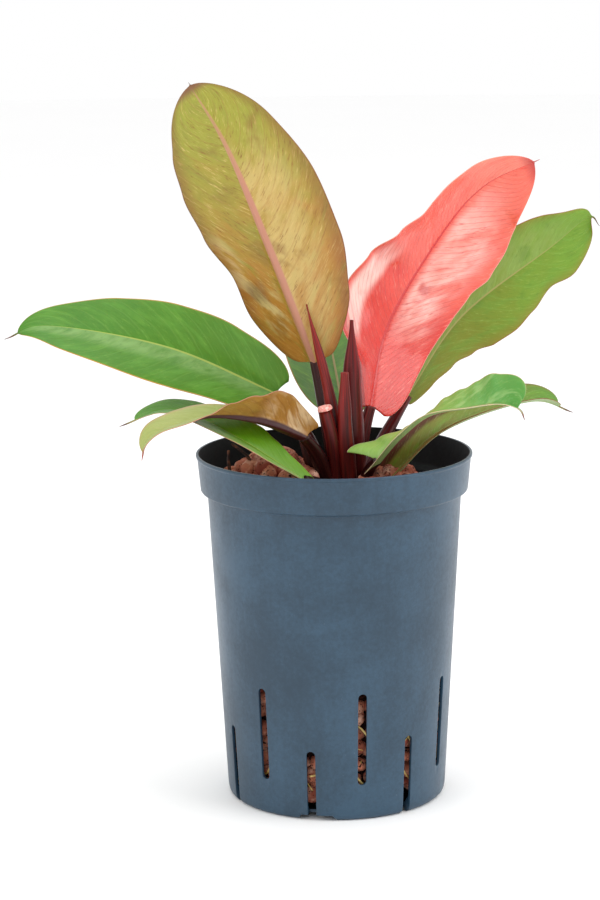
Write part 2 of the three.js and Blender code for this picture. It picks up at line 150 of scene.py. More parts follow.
# Unit vectors across a path: one as near +X as the path lets it be, and one square to both.
def pathFrame(way):
    across = np.array([1.0, 0, 0]) - way[:, :1] * way
    across /= np.linalg.norm(across, axis=1, keepdims=True)
    return across, np.cross(across, way)


# A closed tube: section(angle, share) is the radius factor round a path whose radius follows the eased radii.
def tubeMesh(name, path, radii, section, rows=60, columns=28, material=None, **extras):
    t = np.linspace(0, 1, rows)
    place, way, length = smoothPath(path, t)
    across, face = pathFrame(way)
    angle = np.linspace(0, 2 * np.pi, columns, endpoint=False)[None, :]
    sideways, forwards = section(angle, t[:, None])
    r = eased(radii, t)[:, None, None] * mm
    skin = place[:, None] + r * (across[:, None] * sideways[..., None] + face[:, None] * forwards[..., None])
    points = np.vstack([skin.reshape(-1, 3), place[0] - way[0] * 0.2 * mm, place[-1] + way[-1] * 0.2 * mm])
    faces = closedFaces(rows, columns, True)
    u = np.broadcast_to(angle / (2 * np.pi), (rows, columns))
    v = np.broadcast_to(t[:, None] * length / 0.1, (rows, columns))
    uv = np.vstack([np.stack([u, v], -1).reshape(-1, 2), [0.5, 0], [0.5, length / 0.1]])
    piece = addMesh(name, points, faces, uv=uv, **extras)
    if material:
        piece.data.materials.append(material)
    return piece


# An empty shader node group with float sockets: inputs with their usual values, and outputs by name.
def newGroup(name, inputs, outputs):
    group = bpy.data.node_groups.new(name, "ShaderNodeTree")
    for label, value in inputs.items():
        group.interface.new_socket(label, in_out="INPUT", socket_type="NodeSocketFloat").default_value = value
    for label in outputs:
        group.interface.new_socket(label, in_out="OUTPUT", socket_type="NodeSocketFloat")
    return group


# Short calls that add nodes to one tree and join them.
class Wiring:

    def __init__(self, tree):
        self.tree = tree

    def put(self, value, socket):
        if isinstance(value, bpy.types.NodeSocket):
            self.tree.links.new(value, socket)
        elif value is not None:
            socket.default_value = value

    def math(self, kind, a, b=None, c=None):
        node = self.tree.nodes.new("ShaderNodeMath")
        node.operation = kind
        for socket, value in zip(node.inputs, (a, b, c)):
            self.put(value, socket)
        return node.outputs[0]

    def times(self, a, b):
        return self.math("MULTIPLY", a, b)

    def plus(self, a, b):
        return self.math("ADD", a, b)

    def minus(self, a, b):
        return self.math("SUBTRACT", a, b)

    # Maps low..high to newLow..newHigh, eased, and holds it there outside.
    def span(self, value, low, high, newLow=0.0, newHigh=1.0):
        node = self.tree.nodes.new("ShaderNodeMapRange")
        node.interpolation_type = "SMOOTHSTEP"
        for socket, x in zip(node.inputs, (value, low, high, newLow, newHigh)):
            self.put(x, socket)
        return node.outputs[0]

    def blend(self, share, first, second):
        node = self.tree.nodes.new("ShaderNodeMix")
        node.data_type = "RGBA"
        node.clamp_factor = True
        self.put(share, node.inputs[0])
        self.put(first, node.inputs[6])
        self.put(second, node.inputs[7])
        return node.outputs[2]

    def noise(self, vector, scale, detail=3.0, roughness=0.55, distortion=0.0):
        node = self.tree.nodes.new("ShaderNodeTexNoise")
        self.put(vector, node.inputs["Vector"])
        node.inputs["Scale"].default_value = scale
        node.inputs["Detail"].default_value = detail
        node.inputs["Roughness"].default_value = roughness
        node.inputs["Distortion"].default_value = distortion
        return node.outputs["Fac"]

    def cells(self, vector, scale):
        node = self.tree.nodes.new("ShaderNodeTexVoronoi")
        self.put(vector, node.inputs["Vector"])
        node.inputs["Scale"].default_value = scale
        return node.outputs["Distance"]

    def vector(self, x, y, z=0.0):
        node = self.tree.nodes.new("ShaderNodeCombineXYZ")
        for socket, value in zip(node.inputs, (x, y, z)):
            self.put(value, socket)
        return node.outputs[0]

    def split(self, vector):
        node = self.tree.nodes.new("ShaderNodeSeparateXYZ")
        self.put(vector, node.inputs[0])
        return node.outputs

    def surfaceUv(self):
        node = self.tree.nodes.new("ShaderNodeUVMap")
        node.uv_map = "surface"
        return node.outputs[0]

    def objectPlace(self):
        return self.tree.nodes.new("ShaderNodeTexCoord").outputs["Object"]

    def attribute(self, name):
        node = self.tree.nodes.new("ShaderNodeAttribute")
        node.attribute_name = name
        return node.outputs["Fac"]

    def bump(self, height, strength, distance):
        node = self.tree.nodes.new("ShaderNodeBump")
        node.inputs["Strength"].default_value = strength
        node.inputs["Distance"].default_value = distance
        self.put(height, node.inputs["Height"])
        return node.outputs[0]

    def group(self, group, **values):
        node = self.tree.nodes.new("ShaderNodeGroup")
        node.node_tree = group
        for label, value in values.items():
            self.put(value, node.inputs[label])
        return node.outputs


# A material with a Principled shader; constants go straight on its sockets.
def newMaterial(name, roughness=0.5, **constants):
    material = bpy.data.materials.new(name)
    material.use_nodes = True
    shader = material.node_tree.nodes["Principled BSDF"]
    shader.inputs["Roughness"].default_value = roughness
    for label, value in constants.items():
        shader.inputs[label.replace("_", " ")].default_value = value
    return material, shader, Wiring(material.node_tree)


# A linear colour from a screen colour such as 8c5a2b.
def colour(hexText):
    c = np.array([int(hexText[i:i + 2], 16) for i in (0, 2, 4)]) / 255
    linear = np.where(c <= 0.04045, c / 12.92, ((c + 0.055) / 1.055) ** 2.4)
    return (*linear.tolist(), 1.0)


# Leaf markings from the blade's own map, x across and y along. Side veins leave the midrib and sweep to the tip:
# their coordinate is y less the sweep times the distance from the midrib to the power 1.25.
def makeLeafPattern():
    group = newGroup(
        "leafPattern",
        {"Sweep": 0.2, "Vein Pairs": 15.0, "Rib Width": 0.03, "Margin Width": 0.03, "Seed": 0.0},
        ["Veins", "Grain", "Patches", "Rib", "Margin", "Blotches", "Specks", "Right", "Across", "Along",
        "Height"],
    )
    w = Wiring(group)
    fromOutside = group.nodes.new("NodeGroupInput").outputs
    result = group.nodes.new("NodeGroupOutput").inputs
    seed = fromOutside["Seed"]
    x, y, _ = w.split(w.surfaceUv())
    across = w.math("ABSOLUTE", w.math("MULTIPLY_ADD", x, 2.0, -1.0))
    right = w.math("GREATER_THAN", x, 0.5)
    swept = w.minus(y, w.times(fromOutside["Sweep"], w.math("POWER", across, 1.25)))

    def alongVeins(rate, crossRate, shift, detail, roughness=0.6, distortion=0.0):
        depth = w.math("MULTIPLY_ADD", right, shift, seed)
        place = w.vector(w.times(swept, rate), w.times(across, crossRate), depth)
        return w.noise(place, 1.0, detail, roughness, distortion)

    wander = alongVeins(9.0, 1.6, 2.0, 1.0)
    phase = w.plus(w.times(swept, fromOutside["Vein Pairs"]), w.times(wander, 0.8))
    phase = w.plus(phase, w.times(right, 0.37))
    saw = w.math("ABSOLUTE", w.math("MULTIPLY_ADD", w.math("FRACT", phase), 2.0, -1.0))
    veins = w.times(w.span(saw, 0.82, 1.0), w.span(across, 0.98, 0.8))
    fine = alongVeins(240.0, 11.0, 7.0, 3.0)
    middle = alongVeins(64.0, 3.6, 4.0, 3.0, 0.65)
    grain = w.plus(w.times(fine, 0.5), w.times(middle, 0.5))
    patches = alongVeins(13.0, 2.0, 5.0, 3.0, 0.6, 0.3)
    ribHalf = w.times(fromOutside["Rib Width"], w.math("MULTIPLY_ADD", y, -0.8, 1.15))
    rib = w.span(across, w.times(ribHalf, 1.15), w.times(ribHalf, 0.7))
    margin = w.span(across, w.minus(1.0, fromOutside["Margin Width"]), 1.0)
    place = w.objectPlace()
    blotches = w.noise(place, 45.0, 3.0, 0.6, 0.4)
    specks = w.span(w.cells(place, 380.0), 0.13, 0.06)
    height = w.minus(w.times(grain, 0.8), w.times(veins, 0.3))
    for label, value in (("Veins", veins), ("Grain", grain), ("Patches", patches), ("Rib", rib),
            ("Margin", margin),
                         ("Blotches", blotches), ("Specks", specks), ("Right", right), ("Across", across),
                         ("Along", y), ("Height", height)):
        w.put(value, result[label])
    return group


# Long soft stripes and small specks on a stalk, from its map: x round it and y along it.
def makeSkinStreaks():
    group = newGroup("skinStreaks", {"Seed": 0.0}, ["Stripes", "Specks"])
    w = Wiring(group)
    seed = group.nodes.new("NodeGroupInput").outputs["Seed"]
    result = group.nodes.new("NodeGroupOutput").inputs
    x, y, _ = w.split(w.surfaceUv())
    fullTurn = 6.28318
    turned = w.times(x, fullTurn)
    ring = w.vector(w.math("COSINE", turned), w.math("SINE", turned), w.math("MULTIPLY_ADD", y, 0.6, seed))
    w.put(w.noise(ring, 3.2, 3.0, 0.6), result["Stripes"])
    specks = w.cells(w.vector(w.times(x, 40.0), w.times(y, 60.0), seed), 1.0)
    w.put(w.span(specks, 0.16, 0.05), result["Specks"])
    return group


leafPattern = makeLeafPattern()
skinStreaks = makeSkinStreaks()
print("shared effects made")


cameraPlace = dict(distance=1.44486, height=0.47349, yaw=-0.012777, pitch=0.193161, roll=-0.0106015,
    lens=108.49)


# Forward is turned by the yaw from +Y and down by the pitch; the roll turns the frame about it.
def makeCamera():
    c = cameraPlace
    level = np.cos(c["pitch"])
    forward = Vector((np.sin(c["yaw"]) * level, np.cos(c["yaw"]) * level, -np.sin(c["pitch"])))
    right = forward.cross(Vector((0, 0, 1))).normalized()
    up = right.cross(forward)
    tilted = right * np.cos(c["roll"]) + up * np.sin(c["roll"])
    upright = up * np.cos(c["roll"]) - right * np.sin(c["roll"])
    data = bpy.data.cameras.new("camera")
    data.lens = c["lens"]
    data.sensor_width = 36
    data.clip_start = 0.05
    camera = bpy.data.objects.new("camera", data)
    turn = Matrix((tilted, upright, -forward)).transposed()
    camera.matrix_world = Matrix.Translation((0, -c["distance"], c["height"])) @ turn.to_4x4()
    bpy.context.scene.collection.objects.link(camera)
    bpy.context.scene.camera = camera


floorShape = dict(radius=6, sides=96)


# A wide disc at the pot's foot.
def makeFloor():
    radius, sides = floorShape["radius"], floorShape["sides"]
    angle = np.linspace(0, 2 * np.pi, sides, endpoint=False)
    ring = np.stack([radius * np.cos(angle), radius * np.sin(angle), np.zeros(sides)], -1)
    points = np.vstack([ring, [[0, 0, 0]]])
    mesh = bpy.data.meshes.new("floor")
    mesh.from_pydata(points.tolist(), [], fanFaces(np.arange(sides), sides).tolist())
    floor = bpy.data.objects.new("floor", mesh)
    bpy.context.scene.collection.objects.link(floor)
    material, shader, w = newMaterial("paleFloor", 0.9)
    tint = w.noise(w.objectPlace(), 2.0, 2.0)
    w.put(w.blend(tint, (0.97, 0.97, 0.97, 1), (0.99, 0.99, 0.99, 1)), shader.inputs["Base Color"])
    floor.data.materials.append(material)


lights = dict(
    left=dict(place=(-1.3, -0.9, 1.0), aim=(0, 0, 0.22), size=1.1, power=7, tint=(1, 0.99, 0.97)),
    right=dict(place=(1.35, -0.55, 1.15), aim=(0, 0, 0.25), size=1.2, power=12, tint=(1, 0.99, 0.98)),
    top=dict(place=(0.1, 0.3, 2.0), aim=(0, 0, 0.2), size=1.4, power=9, tint=(1, 1, 1)),
    sky=1.0,
)


# Three soft panels, each turned to face the plant, and an even pale sky.
def makeLights():
    for name in ("left", "right", "top"):
        panel = lights[name]
        data = bpy.data.lights.new(name, "AREA")
        data.energy = panel["power"]
        data.size = panel["size"]
        data.color = panel["tint"]
        lamp = bpy.data.objects.new(name + "Panel", data)
        way = Vector(panel["aim"]) - Vector(panel["place"])
        lamp.matrix_world = Matrix.Translation(panel["place"]) @ way.to_track_quat("-Z",
            "Y").to_matrix().to_4x4()
        bpy.context.scene.collection.objects.link(lamp)
    world = bpy.data.worlds.new("studio")
    world.use_nodes = True
    sky = world.node_tree.nodes["Background"]
    sky.inputs["Color"].default_value = (1, 1, 1, 1)
    sky.inputs["Strength"].default_value = lights["sky"]
    bpy.context.scene.world = world
    bpy.context.scene.view_settings.view_transform = "Standard"


makeCamera()
makeFloor()
makeLights()
print("camera, floor and light set")


potShape = dict(
    wall=1.6, bandHeight=21, bandTaper=2.4, bandStep=3.6, bodyTaper=9, cornerRise=4, cornerInset=2.6,
    footHeight=3, footWidth=2.2, padRadius=9, lip=0.7, lipHeight=2,
    slotCount=14, slotWidth=4.8, longFoot=20, longTop=71, shortTop=44, loweredTop=39,
    notchCount=3, notchAngle=-10.5, notchTop=17, notchFoot=21, columns=14 * 18,
)
rimMm = rimRadius / mm
heightMm = potHeight / mm
bandFoot = heightMm - potShape["bandHeight"]
bandFootRadius = rimMm - potShape["bandTaper"]
bodyTopRadius = bandFootRadius - potShape["bandStep"]
baseRadius = bodyTopRadius - potShape["bodyTaper"]
floorTop = potShape["footHeight"] + potShape["wall"]


# The body's outer radius in millimetres at a height.
def bodyRadius(z):
    share = (z - potShape["cornerRise"]) / (bandFoot - potShape["cornerRise"])
    return baseRadius + (bodyTopRadius - baseRadius) * share


# Points of a corner between two straight edges, rounded by a quadratic curve that starts radius from it.
def roundedCorner(before, corner, after, radius, steps=5):
    before, corner, after = (np.asarray(p, float) for p in (before, corner, after))
    a = corner + (before - corner) / np.linalg.norm(before - corner) * radius
    b = corner + (after - corner) / np.linalg.norm(after - corner) * radius
    s = np.linspace(0, 1, steps)[:, None]
    return (1 - s) ** 2 * a + 2 * s * (1 - s) * corner + s**2 * b


# The wall's outline as radius and height in millimetres, from the middle below, out, up and back inside.
def potProfile():
    p = potShape
    footOuter = baseRadius - p["cornerInset"]
    footInner = footOuter - p["footWidth"]
    innerCorner = floorTop + p["cornerRise"]
    lipInner = rimMm - p["wall"]
    corners = [
        ([0, 0], 0), ([p["padRadius"], 0], 0.4), ([p["padRadius"], p["footHeight"]], 0.4),
        ([footInner, p["footHeight"]], 0.4), ([footInner, 0], 0.3), ([footOuter, 0], 0.8),
        ([baseRadius - p["cornerInset"] / 4, p["cornerRise"] / 3], 1.2),
        ([baseRadius, p["cornerRise"] + 0.5], 1.2),
        ([bodyTopRadius, bandFoot], 0.7), ([bandFootRadius, bandFoot + 1], 0.9),
        ([rimMm - p["lip"], heightMm - p["lipHeight"]], 0.5), ([rimMm, heightMm - p["lipHeight"] * 0.7], 0.3),
        ([rimMm, heightMm - 0.1], 0.5), ([lipInner, heightMm], 0.5),
        ([bandFootRadius - p["wall"], bandFoot + 3], 1.2), ([bodyTopRadius - p["wall"], bandFoot + 1], 0.8),
        ([bodyRadius(innerCorner) - p["wall"], innerCorner], 1.0), ([footInner, floorTop], 1.0),
        ([0, floorTop], 0),
    ]
    places = [c for c, _ in corners]
    rows = [np.array([[0.02, 0]])]
    for i in range(1, len(corners) - 1):
        rows.append(roundedCorner(places[i - 1], places[i], places[i + 1], corners[i][1]))
    rows.append(np.array([[0.02, floorTop]]))
    rows = np.vstack(rows)
    keep = [rows[0]]
    for a, b in zip(rows[:-1], rows[1:]):          # long straight stretches get more rings
        parts = max(int(np.ceil(np.linalg.norm(b - a) / 9)), 1)
        keep += [a + (b - a) * k / parts for k in range(1, parts + 1)]
    return np.array(keep)


# One mesh of closed prisms: each outline, in x and z, runs from inner to outer radius at an angle from the front.
def cutterMesh(outlines):
    points, faces = [], []
    for outline, inner, outer, degrees in outlines:
        o = np.asarray(outline, float)
        n = len(o)
        front = np.stack([o[:, 0], np.full(n, -outer), o[:, 1]], -1)
        back = np.stack([o[:, 0], np.full(n, -inner), o[:, 1]], -1)
        a = np.radians(degrees)
        turn = np.array([[np.cos(a), np.sin(a), 0], [-np.sin(a), np.cos(a), 0], [0, 0, 1]])
        start = sum(len(q) for q in points)
        points.append(np.vstack([front, back]) @ turn * mm)
        k = np.arange(n)
        faces += [(start + k).tolist(), (start + n + k[::-1]).tolist()]
        faces += np.stack([start + k, start + n + k, start + n + (k + 1) % n, start + (k + 1) % n], -1).tolist()
    mesh = bpy.data.meshes.new("cutter")
    mesh.from_pydata(np.vstack(points).tolist(), [], faces)
    return bpy.data.objects.new("cutter", mesh)


# Corners of a slot's outline: a half circle above, and below it another one or an open end.
def slotOutline(foot, top, openFoot):
    half = potShape["slotWidth"] / 2
    arc = np.linspace(0, np.pi, 13)
    upper = np.stack([half * np.cos(arc), top - half + half * np.sin(arc)], -1)
    if openFoot:
        lower = np.array([[-half, foot], [half, foot]])
    else:
        lower = np.stack([-half * np.cos(arc), foot + half - half * np.sin(arc)], -1)
    return np.vstack([upper, lower])


# The profile turned round the axis, then slots and notches cut through it and their edges softened; the inner
# faces get a much darker copy of the plastic as painted shade.
def makePot():
    p = potShape
    profile = potProfile() * mm
    n = p["columns"]
    angle = np.arange(n) * 2 * np.pi / n - np.pi / 2 + np.pi / p["slotCount"]
    points = np.stack([profile[:, :1] * np.cos(angle), profile[:, :1] * np.sin(angle),
                       np.broadcast_to(profile[:, 1:], (len(profile), n))], -1).reshape(-1, 3)
    points = np.vstack([points, [[0, 0, 0], [0, 0, floorTop * mm]]])
    pot = addMesh("potShell", points, closedFaces(len(profile), n), replaced=("pot",), slotName="pot_plastic")
    footInner = baseRadius - p["cornerInset"] - p["footWidth"]
    notchAngles = [p["notchAngle"] + 360 * i / p["notchCount"] for i in range(p["notchCount"])]
    halfTop, halfFoot = p["notchTop"] / 2, p["notchFoot"] / 2
    notchOutline = [[halfTop, p["footHeight"]], [-halfTop, p["footHeight"]], [-halfFoot - 1, -1],
        [halfFoot + 1, -1]]
    cuts = []
    for i in range(p["slotCount"]):
        a = (i + 0.5) * 360 / p["slotCount"]
        lowered = any(abs((other - a + 180) % 360 - 180) < 5 for other in notchAngles)
        top = p["longTop"] if i % 2 == 0 else (p["loweredTop"] if lowered else p["shortTop"])
        outline = slotOutline(p["longFoot"] if i % 2 == 0 else -1, top, i % 2 == 1)
        cuts.append((outline, footInner - 1, bodyTopRadius + 3, a))
    notches = [(notchOutline, footInner - 3, baseRadius + 3, a) for a in notchAngles]
    cutters = [cutterMesh(cuts), cutterMesh(notches)]
    for cutter in cutters:
        bpy.context.scene.collection.objects.link(cutter)
        cut = pot.modifiers.new("cut", "BOOLEAN")
        cut.operation, cut.solver, cut.object = "DIFFERENCE", "EXACT", cutter
    weld = pot.modifiers.new("weld", "WELD")
    weld.merge_threshold = 0.03 * mm
    soften = pot.modifiers.new("soften", "BEVEL")
    soften.width, soften.segments, soften.limit_method = 0.3 * mm, 2, "ANGLE"
    soften.angle_limit = np.radians(50)
    bpy.context.view_layer.update()
    done = bpy.data.meshes.new_from_object(pot.evaluated_get(bpy.context.evaluated_depsgraph_get()))
    pot.modifiers.clear()
    old = pot.data
    pot.data = done
    bpy.data.meshes.remove(old)
    for cutter in cutters:
        bpy.data.objects.remove(cutter)
    pot.data.name = "potShell"
    count = len(pot.data.polygons)
    centres = np.zeros(count * 3, np.float32)
    normals = np.zeros(count * 3, np.float32)
    pot.data.polygons.foreach_get("center", centres)
    pot.data.polygons.foreach_get("normal", normals)
    centres, normals = centres.reshape(-1, 3), normals.reshape(-1, 3)
    # Painted shade: faces that look inwards, and the inner floor, take a near-black copy of the same plastic for
    # the dim inside of the pot.
    inwards = (centres[:, :2] * normals[:, :2]).sum(1) < -0.2 * np.linalg.norm(centres[:, :2], axis=1)
    inside = inwards | ((normals[:, 2] > 0.5) & (centres[:, 2] < 0.01))
    pot.data.materials.clear()
    pot.data.materials.append(potPlastic("potPlasticOutside", "1d3648", "2c4a60", 0.4))
    pot.data.materials.append(potPlastic("potPlasticShadedInside", "05080b", "0c1115", 0.6, 0.2))
    pot.data.polygons.foreach_set("material_index", inside.astype(np.int32))
    pot.data.polygons.foreach_set("use_smooth", np.ones(count, bool))
    pot.data.update()
    return pot


# Moulded plastic: cloudy tone, faint upright drag marks, grooves below the long slots, and fine grain.
def potPlastic(name, dark, light, roughness, specular=0.5):
    material, shader, w = newMaterial(name, roughness, Specular_IOR_Level=specular)
    place = w.objectPlace()
    x, y, z = w.split(place)
    turnAngle = w.math("ARCTAN2", x, w.times(y, -1.0))
    clouds = w.noise(place, 14.0, 5.0, 0.6, 0.4)
    drags = w.noise(w.vector(w.times(turnAngle, 9.0), w.times(z, 9.0)), 1.0, 4.0, 0.6)
    mottle = w.noise(place, 420.0, 3.0, 0.7)
    tone = w.plus(w.times(clouds, 0.62), w.times(drags, 0.12))
    tone = w.plus(tone, w.times(mottle, 0.26))
    base = w.blend(w.span(tone, 0.38, 0.64), colour(dark), colour(light))
    dust = w.times(w.span(w.cells(place, 260.0), 0.09, 0.03), w.span(clouds, 0.45, 0.6))
    w.put(w.blend(w.times(dust, 0.3), base, colour("7c8c98")), shader.inputs["Base Color"])
    w.put(w.span(tone, 0.3, 0.7, roughness + 0.08, roughness - 0.08), shader.inputs["Roughness"])
    pitch = 2 * np.pi / potShape["slotCount"]
    cell = w.math("FRACT", w.math("MULTIPLY_ADD", turnAngle, 1 / (2 * pitch), 5.75))
    offset = w.times(w.math("ABSOLUTE", w.minus(cell, 0.5)), 2 * pitch * baseRadius)
    groove = w.span(w.math("ABSOLUTE", w.minus(offset, potShape["slotWidth"] / 2)), 0.5, 0.0)
    low = w.span(z, (potShape["longFoot"] + 1) * mm, (potShape["longFoot"] - 3) * mm)
    grain = w.noise(place, 900.0, 2.0)
    height = w.math("MULTIPLY_ADD", grain, 0.3, w.times(drags, 0.15))
    height = w.minus(height, w.times(w.times(groove, low), 1.2))
    w.put(w.bump(height, 0.25, 0.0004), shader.inputs["Normal"])
    return material


makePot()
print("pot made")


clayShape = dict(mounds=((-34, -10, 26, 18, 24), (30, -22, 17, 18, 18)), gap=0.3, topCount=350,
    pelletMm=(3.2, 6.0),
                 wallRows=9, wallPellets=3, seed=11)


# The clay's radius at a height: the wall's inner radius less a small gap.
def clayRadius(z):
    return bodyRadius(z) - potShape["wall"] - clayShape["gap"]


# The clay's surface height in millimetres above its level at the wall: two bell-shaped mounds that calm to it.
def clayHeight(x, y):
    rise = 0
    for atX, atY, height, spreadX, spreadY in clayShape["mounds"]:
        rise = rise + height * np.exp(-0.5 * (((x - atX) / spreadX) ** 2 + ((y - atY) / spreadY) ** 2))
    calm = 1 - np.minimum((x * x + y * y) / clayRadius(clayLevel / mm) ** 2, 1)
    return rise * calm**0.25


# Unit directions on a sphere's grid, with one point at each pole, and its faces.
def lumpySphere(rings, columns):
    polar = np.linspace(0, np.pi, rings + 2)[1:-1, None]
    angle = np.linspace(0, 2 * np.pi, columns, endpoint=False)[None, :]
    grid = np.stack(np.broadcast_arrays(np.sin(polar) * np.cos(angle), np.sin(polar) * np.sin(angle),
        np.cos(polar)), -1)
    points = np.vstack([grid.reshape(-1, 3), [[0, 0, 1], [0, 0, -1]]])
    return points, closedFaces(rings, columns, True)


# Many pellets in one mesh: each is the sphere grid stretched along its own axes, turned, and made lumpy.
def pelletMesh(name, places, sizes, rings, columns, seed, **extras):
    random = np.random.default_rng(seed)
    unit, faces = lumpySphere(rings, columns)
    count = len(places)
    waves = random.normal(size=(count, 5, 3)) * np.array([1.6, 2.2, 2.8, 3.6, 4.6])[None, :, None]
    phases = random.uniform(0, 2 * np.pi, (count, 5))
    bumps = np.sin(np.einsum("pk,cwk->cpw", unit, waves) + phases[:, None]) * np.array([0.07, 0.06, 0.045,
        0.035, 0.025])
    stretch = np.stack([random.uniform(1.0, 1.3, count), random.uniform(0.85, 1.05, count),
                        random.uniform(0.72, 0.95, count)], -1)
    body = unit[None] * (1 + bumps.sum(-1))[..., None] * stretch[:, None]
    quarter = random.normal(size=(count, 4))
    quarter /= np.linalg.norm(quarter, axis=1, keepdims=True)
    qw, qv = quarter[:, None, :1], quarter[:, None, 1:]
    turnedOnce = np.cross(qv, body) + qw * body
    body = body + 2 * np.cross(qv, turnedOnce)
    points = (body * np.asarray(sizes)[:, None, None] + np.asarray(places)[:, None]) * mm
    shift = (np.arange(count) * len(unit))[:, None, None]
    allFaces = [(f[None] + shift).reshape(-1, f.shape[1]) for f in faces]
    tone = np.repeat(random.uniform(0, 1, count), len(unit))
    return addMesh(name, points.reshape(-1, 3), allFaces, tone=tone, slotName="expanded_clay", **extras)


# Fired clay: each pellet its own tone, pale dust on top of the rough skin, dark open pores.
def clayMaterial():
    material, shader, w = newMaterial("firedClay", 0.92, Specular_IOR_Level=0.2)
    place = w.objectPlace()
    tone = w.attribute("tone")
    rough = w.noise(place, 420.0, 5.0, 0.7)
    patches = w.noise(place, 130.0, 3.0, 0.6)
    base = w.blend(tone, colour("94483a"), colour("c47a60"))
    base = w.blend(w.span(patches, 0.45, 0.75), base, colour("e0b09a"))
    pores = w.span(w.cells(place, 520.0), 0.30, 0.12)
    cracks = w.span(w.noise(place, 210.0, 2.0, 0.5, 1.5), 0.36, 0.28)
    dark = w.math("MAXIMUM", w.times(pores, 0.8), cracks)
    w.put(w.blend(dark, base, colour("2a1512")), shader.inputs["Base Color"])
    height = w.minus(w.times(rough, 0.8), w.times(dark, 0.7))
    w.put(w.bump(height, 0.8, 0.0006), shader.inputs["Normal"])
    return material


# Painted shade between the pellets: a near-black, finely rough colour for the core that shows through their gaps.
def clayGapShade():
    material, shader, w = newMaterial("clayGapShade", 0.95, Specular_IOR_Level=0.1)
    gapShadeNoise = w.noise(w.objectPlace(), 520.0, 4.0, 0.7)
    w.put(w.blend(w.span(gapShadeNoise, 0.4, 0.7), colour("1c0d0b"), colour("4a2820")), shader.inputs["Base Color"])
    w.put(w.bump(gapShadeNoise, 0.8, 0.0008), shader.inputs["Normal"])
    return material


# Pale yellow root skin, cloudy and finely rough.
def rootMaterial():
    material, shader, w = newMaterial("rootSkin", 0.6)
    place = w.objectPlace()
    tone = w.noise(place, 160.0, 3.0)
    w.put(w.blend(w.span(tone, 0.3, 0.7), colour("b88a3a"), colour("e6cf86")), shader.inputs["Base Color"])
    w.put(w.bump(w.noise(place, 900.0, 2.0), 0.4, 0.0003), shader.inputs["Normal"])
    return material


# A core the size of the bed, coloured near-black as painted shade for the gaps between the pellets, pellets over
# its top, and pellets against the wall behind the slots.
def makeClay():
    random = np.random.default_rng(clayShape["seed"])
    clay = clayMaterial()
    level = clayLevel / mm
    inset = 7.0                                       # the core stays this far behind the pellets' outer skin
    rings = np.array([1, 0.92, 0.8, 0.65, 0.5, 0.35, 0.2, 0.08])
    columns = 72
    angle = np.linspace(0, 2 * np.pi, columns, endpoint=False)
    sideZ = np.array([floorTop + 0.5, floorTop + 8, 60, 110, level - 8])
    sideR = np.array([clayRadius(floorTop + 8) - inset - 4] + [clayRadius(z) - inset for z in sideZ[1:]])
    topR = sideR[-1] * rings[1:]
    r = np.concatenate([sideR, topR])[:, None]
    x, y = r * np.cos(angle), r * np.sin(angle)
    z = np.vstack([np.repeat(sideZ[:, None], columns, 1), level - 5 + clayHeight(x[5:], y[5:])])
    points = np.stack([x, y, z], -1).reshape(-1, 3)
    points = np.vstack([points, [[0, 0, floorTop + 0.5], [0, 0, level - 5 + clayHeight(0.0, 0.0)]]]) * mm
    core = addMesh("clayCore", points, closedFaces(len(r), columns), replaced=("clay_bed",),
        slotName="expanded_clay",
                   tone=np.zeros(len(points)))
    core.data.materials.append(clayGapShade())

    small, large = clayShape["pelletMm"]
    count = clayShape["topCount"]
    k = np.arange(count)
    share = (k + 0.5) / count
    reach = clayRadius(level) - 6
    distance = reach * np.sqrt(share)
    turn = k * 2.39996 + random.normal(0, 0.08, count)
    x, y = distance * np.cos(turn), distance * np.sin(turn)
    sizes = random.uniform(small, large, count)
    away = np.hypot(x - crownPlace[0], y - crownPlace[1])
    keep = away > crownPlace[2] + sizes * 0.7
    z = level + clayHeight(x, y) + random.uniform(-2.2, 2.4, count)
    places = np.stack([x, y, z], -1)[keep]
    top = pelletMesh("clayTopLayer", places, sizes[keep] * 0.9, 11, 16, clayShape["seed"] + 1)
    top.data.materials.append(clay)

    proud = [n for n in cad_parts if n.startswith("top_pellet_")]
    corners = [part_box(n) for n in proud]
    centres = np.array([list((low + high) / 2) for low, high in corners]) / mm
    spans = np.array([(high - low).length / np.sqrt(3) / 2 for low, high in corners]) / mm
    fine = pelletMesh("proudPellets", centres, spans * 0.88, 30, 44, clayShape["seed"] + 2, replaced=proud)
    fine.data.materials.append(clay)

    places, sizes = [], []
    pitch = 360 / potShape["slotCount"]
    for i in range(potShape["slotCount"]):
        for row in range(clayShape["wallRows"]):
            height = floorTop + 9 + row * 8.2 + random.uniform(-1.5, 1.5)
            size = random.uniform(3.9, 5.6)
            for column in range(clayShape["wallPellets"]):
                a = np.radians((i + 0.5) * pitch + (column - 1) * 8.2 + random.uniform(-2, 2)) - np.pi / 2
                radius = clayRadius(height) - size * 1.12 - random.uniform(0.8, 3.6)
                places.append([radius * np.cos(a), radius * np.sin(a), height])
                sizes.append(size * random.uniform(0.85, 1.0))
    wall = pelletMesh("clayBehindSlots", np.array(places), np.array(sizes), 8, 12, clayShape["seed"] + 3)
    wall.data.materials.append(clay)


crownShape = dict(radius=13.6, freeOfPellets=14.0, scars=7, rings=60, columns=56)
crownLow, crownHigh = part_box("crown")
crownPlace = ((crownLow.x + crownHigh.x) / 2 / mm, (crownLow.y + crownHigh.y) / 2 / mm,
    crownShape["freeOfPellets"])
makeClay()
print("clay made")


rootShape = dict(mainRadii=(1.7, 1.1), reach=0.05, threads=46, radius=(0.35, 0.8), seed=5)


